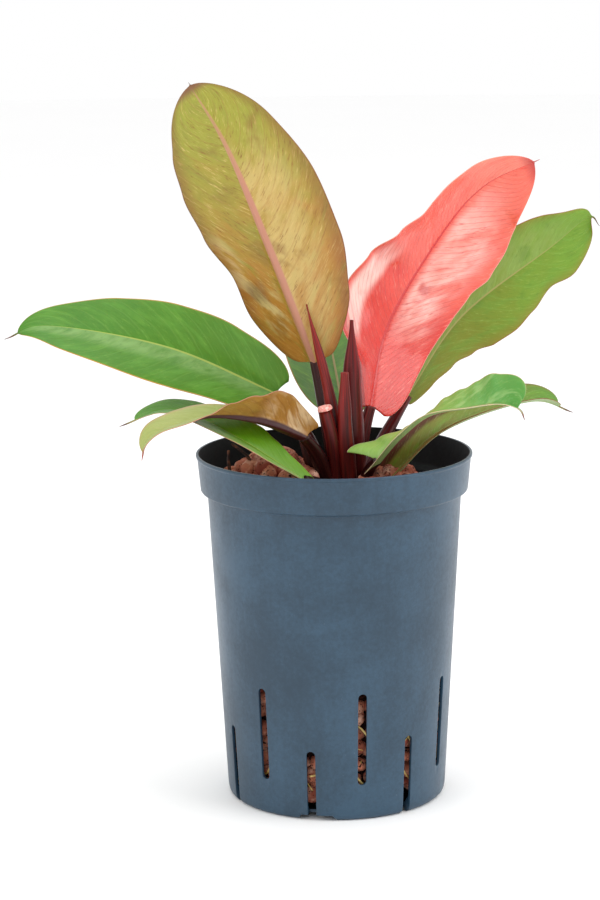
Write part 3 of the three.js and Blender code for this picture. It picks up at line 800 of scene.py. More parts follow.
# Round threads in one mesh, each along its own path and closed at both ends.
def manyTubes(name, paths, radii, columns=6, rows=26, **extras):
    points, faces, shift = [], [], 0
    angle = np.linspace(0, 2 * np.pi, columns, endpoint=False)[None, :, None]
    cosine, sine = np.cos(angle), np.sin(angle)
    for path, (first, second) in zip(paths, radii):
        t = np.linspace(0, 1, rows)
        place, way, _ = smoothPath(path, t)
        aside = np.cross(way, [0.31, 0.27, 0.91])
        aside /= np.linalg.norm(aside, axis=1, keepdims=True)
        over = np.cross(way, aside)
        r = (first + (second - first) * t)[:, None, None]
        skin = place[:, None] + r * (aside[:, None] * cosine + over[:, None] * sine)
        points += [skin.reshape(-1, 3), place[:1], place[-1:]]
        faces += [f + shift for f in closedFaces(rows, columns)]
        shift += rows * columns + 2
    return addMesh(name, np.vstack(points), faces, **extras)


# Five main roots where the frame has them, and fine threads that wander over the clay behind the slots.
def makeRoots():
    random = np.random.default_rng(rootShape["seed"])
    skin = rootMaterial()
    mains = sorted(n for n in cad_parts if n.startswith("root_"))
    paths, radii = [], []
    for name in mains:
        low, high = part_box(name)
        middle = (low + high) / 2
        a = np.arctan2(middle.y, middle.x)
        stretch = min(np.hypot(max(abs(low.x), abs(high.x)), max(abs(low.y), abs(high.y))), rootShape["reach"])
        paths.append([[0.004 * np.cos(a) + 0.004, 0.004 * np.sin(a), high.z],
                      [0.5 * stretch * np.cos(a), 0.5 * stretch * np.sin(a), high.z - 0.014],
                      [0.85 * stretch * np.cos(a), 0.85 * stretch * np.sin(a), (low.z + high.z) / 2],
                      [0.95 * stretch * np.cos(a + 0.2), 0.95 * stretch * np.sin(a + 0.2), low.z]])
        radii.append([r * mm for r in rootShape["mainRadii"]])
    main = manyTubes("mainRoots", paths, radii, 10, 40, replaced=mains, slotName="root")
    main.data.materials.append(skin)
    paths, radii = [], []
    small, large = rootShape["radius"]
    for _ in range(rootShape["threads"]):
        a = random.uniform(0, 2 * np.pi)
        height = random.uniform(12, 74)
        path = []
        for _ in range(6):
            radius = clayRadius(height) - random.uniform(0.9, 2.6)
            path.append([radius * np.cos(a) * mm, radius * np.sin(a) * mm, height * mm])
            a += random.uniform(0.02, 0.14)
            height = float(np.clip(height + random.uniform(-10, 8), 8, 78))
        paths.append(path)
        start = random.uniform(small, large) * mm
        radii.append((start, start * 0.6))
    threads = manyTubes("rootThreads", paths, radii, slotName="root")
    threads.data.materials.append(skin)


makeRoots()
print("roots made")


# Glossy stalk skin: long stripes from dark to light, small pale specks, faint ribs, and painted shade darkening
# it near and below the pot's rim.
def skinMaterial(name, dark, light, roughness=0.38, seed=0.0, streak=0.5):
    material, shader, w = newMaterial(name, roughness, Coat_Weight=0.1, Coat_Roughness=0.3,
        Specular_IOR_Level=0.3)
    marks = w.group(skinStreaks, Seed=seed)
    tone = w.span(marks["Stripes"], 0.5 - streak / 2, 0.5 + streak / 2)
    base = w.blend(tone, colour(dark), colour(light))
    base = w.blend(w.times(marks["Specks"], 0.3), base, colour("c07a6e"))
    # Painted shade: the skin turns near-black towards the rim and below it, where the pot shades the stalks.
    z = w.split(w.objectPlace())[2]
    base = w.blend(w.span(z, potHeight + 0.045, potHeight - 0.008, 0.0, 0.7), base, colour("170203"))
    w.put(base, shader.inputs["Base Color"])
    w.put(w.bump(marks["Stripes"], 0.2, 0.0005), shader.inputs["Normal"])
    return material


# A round section with a groove on its upper face that fades near the base.
def groovedSection(angle, t):
    dip = 1 - 0.28 * np.exp(-((np.mod(angle, 2 * np.pi) - np.pi / 2) / 0.5) ** 2) * smoothStep(0.05, 0.4, t)
    return np.cos(angle) * dip, np.sin(angle) * dip


# An oval section, thin from front to back, with a soft keel.
def flatSection(flatness):
    def shape(angle, t):
        return np.cos(angle) + 0 * t, flatness * np.sin(angle) * (1 + 0.12 * np.cos(2 * angle)) + 0 * t
    return shape


# A stout stem: its radius swells at each old leaf scar and closes in a dome.
def makeCrown():
    rings, columns = crownShape["rings"], crownShape["columns"]
    height = (crownHigh.z - crownLow.z) / mm
    t = np.linspace(0, 1, rings)
    radius = crownShape["radius"] * (0.55 + 0.45 * smoothStep(0, 0.5, t)) * (1 - 0.5 * smoothStep(0.72, 1.0, t))
    radius *= 1 + 0.035 * np.cos(2 * np.pi * t * crownShape["scars"])
    angle = np.linspace(0, 2 * np.pi, columns, endpoint=False)
    wobble = 1 + 0.03 * np.cos(3 * angle[None, :] + 5 * t[:, None])
    x = crownPlace[0] + radius[:, None] * wobble * np.cos(angle)
    y = crownPlace[1] + radius[:, None] * wobble * np.sin(angle)
    z = np.broadcast_to(crownLow.z / mm + t[:, None] * height, x.shape)
    ends = [[*crownPlace[:2], crownLow.z / mm], [*crownPlace[:2], crownHigh.z / mm]]
    points = np.vstack([np.stack([x, y, z], -1).reshape(-1, 3), ends])
    u = np.broadcast_to(angle / (2 * np.pi), (rings, columns))
    v = np.broadcast_to(t[:, None] * 0.5, (rings, columns))
    uv = np.vstack([np.stack([u, v], -1).reshape(-1, 2), [[0, 0], [0, 0.5]]])
    crown = addMesh("crownStem", points * mm, closedFaces(rings, columns), uv=uv, replaced=("crown",),
        slotName="crown")
    crown.data.materials.append(skinMaterial("crownSkin", "2a0a0c", "5c1c1e", 0.6, 3.0))


makeCrown()

stalkWine = skinMaterial("wineStalk", "280204", "7c1512", 0.32, 1.0, 0.42)
stalkDark = skinMaterial("darkStalk", "130202", "480808", 0.36, 5.0, 0.5)
stalkRose = skinMaterial("roseStalk", "3a0306", "861512", 0.34, 9.0, 0.42)
sheathSkin = skinMaterial("sheathSkin", "2e0305", "a02019", 0.4, 13.0, 0.4)
sheathWine = skinMaterial("sheathWine", "3a0104", "800809", 0.34, 17.0, 0.5)
brownSheath = skinMaterial("brownSheath", "3a1210", "8a4a40", 0.6, 21.0, 0.4)

sheaths = {
    "left_spike_sheath": dict(name="leftSpike", path=[[4, -14, 4], [-2, -16, 56], [-14, -18, 107]],
                              radii=[4.2, 3.9, 2.6, 0.35], flat=0.8, skin=sheathSkin),
    "middle_spike_sheath": dict(name="middleSpike", path=[[11, -7, 2], [10, -8, 54], [10, -8, 97]],
                                radii=[5.6, 6.2, 5.0, 1.0], flat=0.8, skin=sheathWine),
    "front_spike_sheath": dict(name="frontSheath", path=[[8, -17, 2], [6, -22, 40], [6, -22, 71]],
                               radii=[5, 4.8, 3.8, 2.2], flat=0.8, skin=sheathSkin),
    "front_left_sheath": dict(name="brownSheath", path=[[-6, -12, 6], [-12, -15, 23], [-19, -16, 38]],
                              radii=[4.6, 4.4, 1.4], flat=0.4, skin=brownSheath),
}
for node, s in sheaths.items():
    tubeMesh(s["name"], abovePot(s["path"]), s["radii"], flatSection(s["flat"]), material=s["skin"],
             replaced=(node,), slotName="sheath")

cutStub = dict(path=[[1, -20, 8], [-1, -23, 34], [-5, -24, 53]], radii=[3.4, 3.6, 3.5])


# A cut stalk: a round tube whose end is dished, with a swollen pale ring round the cut.
def makeStub():
    rows, columns = 70, 36
    t = np.linspace(0, 1, rows)
    place, way, length = smoothPath(abovePot(cutStub["path"]), t)
    across, face = pathFrame(way)
    angle = np.linspace(0, 2 * np.pi, columns, endpoint=False)
    ragged = 1 + 0.06 * np.cos(5 * angle + 1) * smoothStep(0.93, 1, t)[:, None]
    ragged = ragged + 0.16 * np.exp(-((t - 0.965) / 0.02) ** 2)[:, None]
    r = eased(cutStub["radii"], t)[:, None] * ragged * mm
    cosine, sine = np.cos(angle)[None, :, None], np.sin(angle)[None, :, None]
    skin = place[:, None] + r[..., None] * (across[:, None] * cosine + face[:, None] * sine)
    inner = [place[-1] + (skin[-1] - place[-1]) * s - way[-1] * d * mm for s,
        d in ((0.86, -0.25), (0.7, 0.2), (0.4, 0.8), (0.15, 1.0))]
    grid = np.concatenate([skin, np.array(inner)])
    points = np.vstack([grid.reshape(-1, 3), place[:1], place[-1:] - way[-1:] * 1.0 * mm])
    total = len(grid)
    faces = closedFaces(total, columns, True)
    rowOf = np.repeat(np.arange(total - 1), columns)
    slots = [(rowOf > rows - 5).astype(int), np.zeros(columns, int), np.ones(columns, int)]
    v = np.concatenate([t * length / 0.1, np.full(4, length / 0.1)])
    uv = np.stack([np.broadcast_to(angle / (2 * np.pi), (total, columns)),
        np.broadcast_to(v[:, None], (total, columns))], -1)
    uv = np.vstack([uv.reshape(-1, 2), [[0.5, 0], [0.5, 1]]])
    stub = addMesh("cutStub", points, faces, slots=slots, uv=uv, replaced=("cut_stalk_stub",),
        slotName="sheath")
    stub.data.materials.append(stalkRose)
    material, shader, w = newMaterial("pinkCut", 0.55)
    flesh = w.noise(w.objectPlace(), 700.0, 4.0, 0.65)
    w.put(w.blend(w.span(flesh, 0.35, 0.65), colour("e8776e"), colour("ffd0c4")), shader.inputs["Base Color"])
    w.put(w.bump(flesh, 0.8, 0.0006), shader.inputs["Normal"])
    stub.data.materials.append(material)


makeStub()

dryStalks = {
    "upright_dry_stalk": [[-54, -30, 12], [-56, -31, 23], [-56, -31, 31]],
    "leaning_dry_stalk": [[-42, -17, 12], [-46, -16, 24], [-55, -12, 31]],
}


# Two thin dead stalks: a wrinkled round section that narrows to a blunt end.
def makeDryStalks():
    material, shader, w = newMaterial("dryBark", 0.9)
    tone = w.noise(w.objectPlace(), 300.0, 4.0)
    w.put(w.blend(w.span(tone, 0.35, 0.7), colour("2a1714"), colour("70402f")), shader.inputs["Base Color"])
    w.put(w.bump(tone, 0.8, 0.0008), shader.inputs["Normal"])

    def wrinkled(angle, t):
        size = 1 - 0.13 * (0.5 + 0.5 * np.cos(5 * angle + 9 * t)) - 0.08 * (0.5 + 0.5 * np.sin(31 * t))
        return np.cos(angle) * size, np.sin(angle) * size

    for number, (node, path) in enumerate(dryStalks.items()):
        tubeMesh(f"dryStalk{number + 1}", abovePot(path), [1.1, 1.0, 0.8], wrinkled, material=material,
                 replaced=(node,), slotName="dry_stalk")


makeDryStalks()
print("crown, sheaths and dry stalks made")


bladeDefaults = dict(sheet=0.55, edge=0.3, rib=1.8, ribHalf=2.3, groove=0.35, vein=0.1, tail=0.02,
    tailHalf=0.45,
                     curlLeft=[0], curlRight=[0], shareLeft=[1], shareRight=[1], ripple=(0, 3, 0), dents=(),
                     rows=170, halfColumns=30, sweep=0.2, veins=15)


# The half width's share: a round shoulder to the widest place, a taper, then nothing along the drip tip.
def outlineShare(t, widest, base, tip, tail):
    inward = np.clip((widest - t) / widest, 0, 1)
    outward = np.clip((t - widest) / (1 - tail - widest), 0, 1)
    return np.where(t < widest, base + (1 - base) * np.sqrt(1 - inward**2.2), (1 - outward**2.2) ** (1 / tip))


# Points of the blade at t along (rows) and v across (columns): the midrib's place plus, on each side,
# the half width turned up by that side's fold and curl, a ripple that grows to the margin, and dents.
def bladeSurface(leaf, t, v):
    spine, along, length = smoothPath(abovePot(leaf["midrib"]), t)
    bearing = np.radians(leaf["bearing"])
    flat = np.array([np.sin(bearing), -np.cos(bearing), 0])
    across = flat - (along @ flat)[:, None] * along
    across /= np.linalg.norm(across, axis=1, keepdims=True)
    up = np.cross(across, along)
    turn = np.radians(eased(leaf["turn"], t))[:, None]
    right = across * np.cos(turn) + up * np.sin(turn)
    face = up * np.cos(turn) - across * np.sin(turn)
    a = np.abs(v)[None, :]
    left = (v < 0)[None, :]

    def bySide(name):
        return np.where(left, eased(leaf[name + "Left"], t)[:, None], eased(leaf[name + "Right"], t)[:, None])

    tilt = np.radians(bySide("fold") + bySide("curl") * a**1.5)
    share = outlineShare(t, tail=leaf["tail"], **leaf["outline"])[:, None]
    ending = leaf["tailHalf"] * (0.25 + 0.75 * smoothStep(0, 0.04, 1 - t))[:, None]
    width = np.maximum(leaf["halfWidth"] * share * bySide("share"), ending)
    size, count, phase = leaf["ripple"]
    wave = size * a**2 * np.sin(2 * np.pi * (count * t[:, None] + phase + 0.37 * left))
    wave = wave * np.sqrt(np.sin(np.pi * t))[:, None]
    for atT, atV, sizeT, sizeV, depth in leaf["dents"]:
        wave = wave + depth * np.exp(-((t[:, None] - atT) / sizeT) ** 2 - ((v[None, :] - atV) / sizeV) ** 2)
    lobe = leaf["lobe"] * a**1.5 * np.clip(1 - 4 * t, 0, 1)[:, None] ** 2
    points = spine[:, None] + mm * (
        right[:, None] * (np.sign(v)[None, :] * width * a * np.cos(tilt))[..., None]
        + face[:, None] * (width * a * np.sin(tilt) + wave)[..., None]
        - along[:, None] * lobe[..., None])
    return points, width, length


# Unit normals from the differences along rows and columns, pointing to the upper side.
def surfaceNormals(points):
    normals = np.cross(np.gradient(points, axis=1), np.gradient(points, axis=0))
    return normals / np.maximum(np.linalg.norm(normals, axis=-1, keepdims=True), 1e-12)


# Two skins either side of the blade's surface, joined round the margin; the rib stands out below.
def makeBlade(name, leaf, node, slotName, upper, under):
    leaf = {**bladeDefaults, **leaf}
    s = np.linspace(0, 1, leaf["rows"])
    t = s - 0.09 * np.sin(2 * np.pi * s)
    h = np.linspace(-1, 1, 2 * leaf["halfColumns"] + 1)
    v = np.sign(h) * np.abs(h) ** 1.4
    points, width, length = bladeSurface(leaf, t, v)
    normals = surfaceNormals(points)
    aside = np.abs(v)[None, :] * width
    a = np.abs(v)[None, :]
    tt = t[:, None]
    phase = leaf["veins"] * (tt - leaf["sweep"] * a**1.25) + 0.37 * (v > 0)[None, :]
    ridge = np.exp(-(np.abs((phase % 1) - 0.5) / 0.09) ** 2) * smoothStep(1.0, 0.75, a) * smoothStep(0.0, 0.08,
        a)
    half = leaf["sheet"] / 2 + (leaf["edge"] - leaf["sheet"]) / 2 * smoothStep(0.85, 1, a)
    half = np.minimum(half, 0.5 * width + 0.05)
    ribHalf = leaf["ribHalf"] * (1 - 0.8 * tt)
    rib = leaf["rib"] * (1 - tt) ** 0.8 * np.exp(-(aside / ribHalf) ** 2)
    groove = leaf["groove"] * (1 - tt) * np.exp(-(aside / (0.7 * ribHalf)) ** 2)
    top = points + normals * mm * (half - groove - leaf["vein"] * 0.6 * ridge)[..., None]
    bottom = points - normals * mm * (half + rib + leaf["vein"] * ridge)[..., None]
    rows, columns = points.shape[:2]
    count = rows * columns
    quads = gridFaces(rows, columns)
    grid = np.arange(count).reshape(rows, columns)
    rim = np.concatenate([grid[0, :-1], grid[:-1, -1], grid[-1, :0:-1], grid[:0:-1, 0]])
    nextRim = np.roll(rim, -1)
    edge = np.stack([rim + count, nextRim + count, nextRim, rim], -1)
    faces = [quads, quads[:, ::-1] + count, edge]
    slots = [np.zeros(len(quads), int), np.ones(len(quads), int), np.zeros(len(edge), int)]
    u = np.broadcast_to((v * 0.5 + 0.5)[None, :], (rows, columns))
    along = np.broadcast_to(tt, (rows, columns))
    uv = np.tile(np.stack([u, along], -1).reshape(-1, 2), (2, 1))
    piece = addMesh(name, np.vstack([top.reshape(-1, 3), bottom.reshape(-1, 3)]), faces, slots=slots, uv=uv,
                    replaced=(node,), slotName=slotName)
    piece.data.materials.append(upper)
    piece.data.materials.append(under)
    return piece


# Leaf skin: two colours along the blade, patches along the veins, soft zones of another tint (on some leaves
# painted highlights, painted light or painted shade), grain and veins, specks, an outer band, the rib, the margin
# and the tail. A zone rises and falls along and across the blade.
def leafSkin(name, look):
    gloss = look.get("roughness", 0.38)
    material, shader, w = newMaterial(
        name, gloss, Coat_Weight=look.get("coat", 0.1), Coat_Roughness=look.get("coatRoughness", 0.25),
        Specular_IOR_Level=look.get("specular", 0.4), Subsurface_Weight=look.get("glow", 0.1),
        Subsurface_Scale=0.003)
    shader.inputs["Subsurface Radius"].default_value = (1.0, 0.6, 0.25)
    values = {"Sweep": look.get("sweep", 0.2), "Vein Pairs": look.get("veins", 15.0),
        "Rib Width": look.get("ribWidth", 0.035),
              "Margin Width": look.get("marginWidth", 0.03), "Seed": look.get("seed", 0.0)}
    p = w.group(leafPattern, **values)
    drift = w.math("MULTIPLY_ADD", w.minus(p["Blotches"], 0.5), 0.7, p["Along"])
    base = w.blend(w.span(drift, 0.1, 0.95), colour(look["low"]), colour(look["high"]))
    base = w.blend(w.span(p["Patches"], 0.46, 0.66, 0.0, look.get("patchShare", 0.5)), base,
        colour(look.get("patch", look["dark"])))
    for zone in look.get("zones", ()):
        start, full, fade, end = zone["along"]
        inner, innerFull, outerFull, outer = zone["across"]
        where = w.times(w.span(p["Along"], start, full), w.span(p["Along"], end, fade))
        where = w.times(where, w.times(w.span(p["Across"], inner, innerFull),
            w.span(p["Across"], outer, outerFull)))
        where = w.times(where, w.span(p["Patches"], zone.get("patchFrom", 0.2), zone.get("patchFull", 0.6)))
        side = p["Right"] if zone["side"] == "right" else w.minus(1.0, p["Right"])
        base = w.blend(w.times(w.times(where, side), zone["share"]), base, colour(zone["tint"]))
    grain = look.get("grain", 0.5)
    base = w.blend(w.span(p["Grain"], 0.47, 0.33, 0.0, grain), base, colour(look["dark"]))
    base = w.blend(w.span(p["Grain"], 0.53, 0.68, 0.0, grain), base, colour(look["light"]))
    base = w.blend(w.span(p["Blotches"], 0.56, 0.72, 0.0, look.get("blotch", 0.25)), base, colour(look["dark"]))
    base = w.blend(w.times(p["Veins"], look.get("veinShare", 0.2)), base, colour(look["vein"]))
    base = w.blend(w.times(p["Specks"], look.get("speck", 0.25)), base, colour(look["light"]))
    base = w.blend(w.span(p["Across"], 0.72, 1.0, 0.0, look.get("bandShare", 0.0)), base,
        colour(look["margin"]))
    base = w.blend(w.times(p["Margin"], 0.9), base, colour(look["margin"]))
    fade = w.span(p["Along"], 0.55, 1.0, 1.0, look.get("ribEnd", 0.5))
    base = w.blend(w.times(p["Rib"], fade), base, colour(look["rib"]))
    base = w.blend(w.span(p["Along"], look.get("tailFrom", 0.93), 0.985), base,
        colour(look.get("tail", look["margin"])))
    w.put(base, shader.inputs["Base Color"])
    w.put(w.span(p["Grain"], 0.3, 0.7, gloss + 0.07, gloss - 0.07), shader.inputs["Roughness"])
    w.put(w.bump(p["Height"], look.get("relief", 0.25), 0.0005), shader.inputs["Normal"])
    return material


greenUpper = dict(low="4b8218", high="568f22", dark="3b7010", light="84ae48", patch="68a030", vein="7aa845",
    rib="95a84c",
                  margin="b07f3e", tail="5a2c20", grain=0.45, patchShare=0.45, roughness=0.42, veinShare=0.15,
                  ribWidth=0.028, specular=0.28, coat=0.04)
greenUnder = dict(low="7f9a5c", high="8fa868", dark="6a8649", light="a9b988", patch="9cae74", vein="a5b47e",
    rib="6a2a2e",
                  margin="a0684a", tail="5a2c20", grain=0.4, roughness=0.5, coat=0.0, veinShare=0.25,
                  ribWidth=0.05)

tallLeaf = dict(
    midrib=[[-10, -8, 75], [-32, -24, 135], [-54, -31, 191], [-74, -27, 225]], bearing=-100, turn=[5],
    halfWidth=39.5, foldLeft=[14, 8, 6], foldRight=[14, 8, 6], shareLeft=[0.7, 0.9, 0.99, 1.0, 0.94, 0.85],
    shareRight=[0.8, 0.84, 0.73, 0.9, 1, 1.1, 1.25], outline=dict(widest=0.45, base=0.25, tip=1.7), tail=0.01,
    lobe=0,
    rib=2.2, ribHalf=3.0, ripple=(0.5, 2.5, 0.1), dents=((0.24, 0.75, 0.06, 0.2, 2.0),),
)
tallUnder = leafSkin("tallLeafUnder", dict(
    low="ac7630", high="939632", dark="7c4e1e", light="d0b36e", patch="8a8a30", patchShare=0.7, vein="946630",
    rib="ba806a",
    margin="6e3420", tail="7a5436", grain=0.85, blotch=0.45, roughness=0.42, ribWidth=0.072, ribEnd=0.55,
    veinShare=0.25,
    glow=0.1, marginWidth=0.022, seed=2.0, veins=16.0, sweep=0.24, bandShare=0.5, tailFrom=0.95, speck=0.1,
    zones=(
        # Painted light: the half that faces the lamps is drawn paler, in patches along the veins.
        dict(tint="cbb070", side="left", along=(-0.1, 0.08, 0.6, 0.85), across=(-1, 0, 0.35, 0.95),
        patchFrom=0.25, share=0.75),
        dict(tint="e0c692", side="right", along=(0.08, 0.14, 0.22, 0.32), across=(0.1, 0.3, 0.6, 0.8),
        patchFrom=0.45, share=0.6),
        dict(tint="dcc090", side="right", along=(0.2, 0.3, 0.4, 0.55), across=(0.55, 0.8, 0.95, 1.1),
        patchFrom=0.4, share=0.6),
        dict(tint="7a5a48", side="right", along=(0.2, 0.26, 0.28, 0.34), across=(0.35, 0.5, 0.75, 0.9),
        share=0.6))))
tallUpper = leafSkin("tallLeafUpper", {**greenUpper, "low": "5f7f28", "high": "64902a", "rib": "a8784e",
    "seed": 4.0})
redLeaf = dict(
    midrib=[[20, 4, 48], [30, 24, 89], [60, 43, 137], [84, 48, 163], [114, 46, 177]], bearing=60, turn=[-65],
    halfWidth=38, foldLeft=[20, 26, 6, 0, 6, 20, 28, 24, 20, 20, 20], foldRight=[12, 8, 6], curlLeft=[0, 10, 0],
    shareLeft=[0.6, 0.8, 1.0, 1.06, 1.0, 0.96, 0.92, 0.8, 0.66, 0.6, 0.6],
    shareRight=[0.8, 0.82, 0.85, 0.85, 0.86, 0.9, 1.05, 1.1, 1.07, 1.1, 1.1],
    outline=dict(widest=0.5, base=0.3, tip=1.7), tail=0.02, lobe=3,
    ripple=(1.0, 2.2, 0.3), dents=((0.46, 0.3, 0.04, 0.12, -1.6), (0.6, 0.55, 0.09, 0.2, 1.4),
    (0.33, 0.5, 0.08, 0.2, 1.2),
                                   (0.3, -0.55, 0.12, 0.18, -1.5)),
)
redUpper = leafSkin("redLeafUpper", dict(
    low="d42418", high="f06a56", dark="b8211c", light="f89482", patch="ea4030", vein="ab1c1e", rib="c92a28",
    margin="f2a390",
    tail="b8302a", grain=0.65, blotch=0.3, roughness=0.25, coat=0.55, coatRoughness=0.12, ribWidth=0.032,
    ribEnd=0.7,
    veinShare=0.42, glow=0.1, marginWidth=0.018, seed=6.0, veins=42.0, sweep=0.22, relief=0.5, speck=0.1,
    zones=(
        # Pale pink patches on this half: partly the leaf's paler colour, partly a painted highlight for its
        # gloss.
        dict(tint="ffc6bc", side="right", along=(0.2, 0.34, 0.6, 0.95), across=(0, 0.15, 0.5, 1.0),
        patchFull=0.7, share=0.85),
        # Painted highlight: a white-pink patch on the shoulder for a glossy reflection.
        dict(tint="ffd8d0", side="left", along=(0.14, 0.22, 0.38, 0.52), across=(0.45, 0.62, 0.82, 0.98),
        patchFull=0.6, share=0.85),
        dict(tint="f4907c", side="left", along=(0.75, 0.88, 1.0, 1.1), across=(-1, 0, 0.9, 1.2), patchFull=0.6,
        share=0.6),
        dict(tint="b01c16", side="right", along=(0.4, 0.425, 0.435, 0.46), across=(0.12, 0.22, 0.32, 0.42),
        patchFrom=-1.0,
             patchFull=0.0, share=0.75),
        # Painted shade: dark red along the rolled margin near the base, where the edge turns away from the light.
        dict(tint="7c0e12", side="left", along=(-0.1, 0.0, 0.12, 0.24), across=(0.5, 0.75, 0.95, 1.05),
        share=0.9))))
redUnder = leafSkin("redLeafUnder", dict(
    low="b02a26", high="c04a40", dark="8a1c1e", light="d06a60", vein="941f20", rib="7a1420", margin="e89080",
    grain=0.5, roughness=0.42, ribWidth=0.055, seed=8.0, veins=42.0, sweep=0.22))
rightLeaf = dict(
    midrib=[[41, 34, 48], [72, 58, 89], [122, 79, 124], [144, 82, 141], [151, 84, 136]], bearing=55, turn=[-78],
    halfWidth=28, foldLeft=[10, 8, 6], foldRight=[10, 8, 6], shareLeft=[0.8, 0.8, 0.85, 1.0, 1.02, 0.75],
    shareRight=[0.4, 0.45, 0.6, 0.8, 0.95, 0.975, 0.91, 0.78, 1.0, 1.0, 1.05],
    outline=dict(widest=0.5, base=0.3, tip=2), tail=0.05, lobe=3,
    ripple=(1.2, 2.6, 0.0),
)
rightUpper = leafSkin("rightLeafUpper", dict(
    greenUpper, low="6f7718", high="699228", dark="4f6f18", light="93ab50", patch="5f8c2a", rib="96904e",
    margin="8f4e22",
    tail="4a2418", seed=10.0, grain=0.55, blotch=0.4, roughness=0.42, bandShare=0.25, veinShare=0.18, zones=(
        dict(tint="8a9a52", side="left", along=(-0.1, 0.1, 0.7, 1.0), across=(-1, 0, 0.5, 1), share=0.45),)))
rightUnder = leafSkin("rightLeafUnder", dict(greenUnder, seed=11.0))

rearLeaf = dict(
    midrib=[[5, 32, 42], [0, 62, 65], [-6, 92, 93], [-12, 108, 113]], bearing=100, turn=[0],
    halfWidth=28, foldLeft=[10, 8, 6], foldRight=[10, 8, 6], outline=dict(widest=0.42, base=0.3, tip=1.5),
    tail=0.02,
    lobe=4, ripple=(0.8, 2.4, 0.2),
)
rearUpper = leafSkin("rearLeafUpper", dict(greenUpper, low="4c7632", high="4f8430", rib="968a58", seed=12.0))
rearUnder = leafSkin("rearLeafUnder", dict(greenUnder, seed=13.0))

leftLeaf = dict(
    midrib=[[-31, 0, 56], [-88, -9, 83], [-150, -21, 97], [-174, -26, 91]], bearing=184, turn=[32, 32, 28],
    halfWidth=33, foldLeft=[4], foldRight=[14, 12, 8], shareLeft=[0.9, 0.95, 1, 1, 1, 0.9],
    shareRight=[1.1, 1, 0.9, 0.85, 0.75, 0.7], outline=dict(widest=0.4, base=0.3, tip=1.5), tail=0.05, lobe=5,
    ripple=(0.6, 2.2, 0.4),
)
leftUpper = leafSkin("leftLeafUpper", dict(
    greenUpper, low="44790c", high="3f7a16", dark="2f660a", light="74a43c", patch="5a942a", margin="cf9248",
    seed=14.0,
    zones=(dict(tint="86a866", side="left", along=(-0.1, 0.25, 0.8, 1.0), across=(-1, 0, 0.2, 0.5), share=0.6),
    )))
leftUnder = leafSkin("leftLeafUnder", dict(greenUnder, seed=15.0))

bronzeLeaf = dict(
    midrib=[[-16, -32, 38], [-39, -48, 50], [-62, -58, 55], [-77, -66, 53], [-91, -72, 49], [-97, -75, 43.5],
    [-99, -77, 35]],
    bearing=205, turn=[0], halfWidth=21.8, foldLeft=[84, 84, 66, 42, 27, 14, 10, 12, 20],
    foldRight=[20, 20, 15, 8, 6, 10, 15, 10],
    shareLeft=[0.7, 0.95, 0.95, 1, 1], outline=dict(widest=0.35, base=0.5, tip=1.4),
    tail=0.04, lobe=6, rib=2.4, ribHalf=2.6, dents=((0.16, -0.55, 0.06, 0.2, 1.2),),
)
bronzeUpper = leafSkin("bronzeLeafUpper", dict(
    greenUpper, low="9aa35e", high="9ca65c", dark="7f9048", light="bcc68e", patch="8f9a52", rib="a8a468",
    margin="b9776a",
    tail="a04a44", roughness=0.44, seed=16.0, bandShare=0.3))
bronzeUnder = leafSkin("bronzeLeafUnder", dict(
    low="a0702f", high="8f7a34", dark="6e4319", light="c09a66", patch="8a5a26", vein="6c4016", rib="3a0a0c",
    margin="94604a",
    tail="8a3a36", grain=0.6, blotch=0.5, roughness=0.4, ribWidth=0.16, veinShare=0.35, seed=17.0, ribEnd=1.0,
    zones=(
        # Painted highlight: pale patches on the curled base of the blade.
        dict(tint="d0b288", side="left", along=(0.0, 0.06, 0.2, 0.34), across=(-1, 0, 0.9, 1.2), patchFrom=0.42,
        share=0.8),)))
lowLeftLeaf = dict(
    midrib=[[-15.5, -42, 17], [-52, -45, 41.5], [-86, -27, 52.5], [-113.5, -34, 45]], bearing=180, turn=[0],
    halfWidth=18, foldLeft=[4, 0, 0, 2, 4], foldRight=[38, 38, 28, 16, 15], shareLeft=[0.5, 0.8, 1, 1, 1],
    shareRight=[0.5, 0.6, 0.74, 0.85, 0.82, 0.8, 0.82, 0.95, 1.0, 1.2, 1.2],
    outline=dict(widest=0.4, base=0.35, tip=1.8), tail=0.08, lobe=5, rib=1.6,
)
lowLeftUpper = leafSkin("lowLeftLeafUpper", dict(
    greenUpper, low="649612", high="4f9018", dark="447a10", light="8cb050", margin="b88a70", tail="4f1f1c",
    seed=18.0,
    # Painted light: a paler grey-green on this half to lift it out of shade.
    zones=(dict(tint="a0ba80", side="left", along=(-0.3, -0.1, 0.5, 0.8), across=(0.3, 0.5, 0.9, 1.3),
    patchFrom=0.1, share=0.6),)))
lowLeftUnder = leafSkin("lowLeftLeafUnder", dict(greenUnder, seed=19.0))

lowRightLeaf = dict(
    midrib=[[23, -36, 25.6], [35, -38, 39.4], [50.6, -42, 51.8], [71.4, -45, 55.9], [88, -46.5, 58],
    [97, -48, 55], [100, -48, 49.3]],
    bearing=-10, turn=[0], halfWidth=21, foldLeft=[70, 28, 5, -5, 0, 14, 24, 32, 44, 62, 80], foldRight=[8],
    shareLeft=[0.95, 0.7, 0.75, 0.88, 1.15, 1.5],
    shareRight=[0.3, 0.5, 0.8, 0.9, 0.8], outline=dict(widest=0.5, base=0.8, tip=3), tail=0.08, lobe=9, rib=1.6,
)
lowRightUpper = leafSkin("lowRightLeafUpper", dict(
    greenUpper, low="8cb456", high="4c8c3a", dark="5f8f3a", light="a6c084", patch="9cbc78", patchShare=0.5,
    rib="8a4a40",
    margin="d8b8a0", tail="7a3430", seed=20.0, roughness=0.4, grain=0.35))
lowRightUnder = leafSkin("lowRightLeafUnder", dict(greenUnder, seed=21.0))

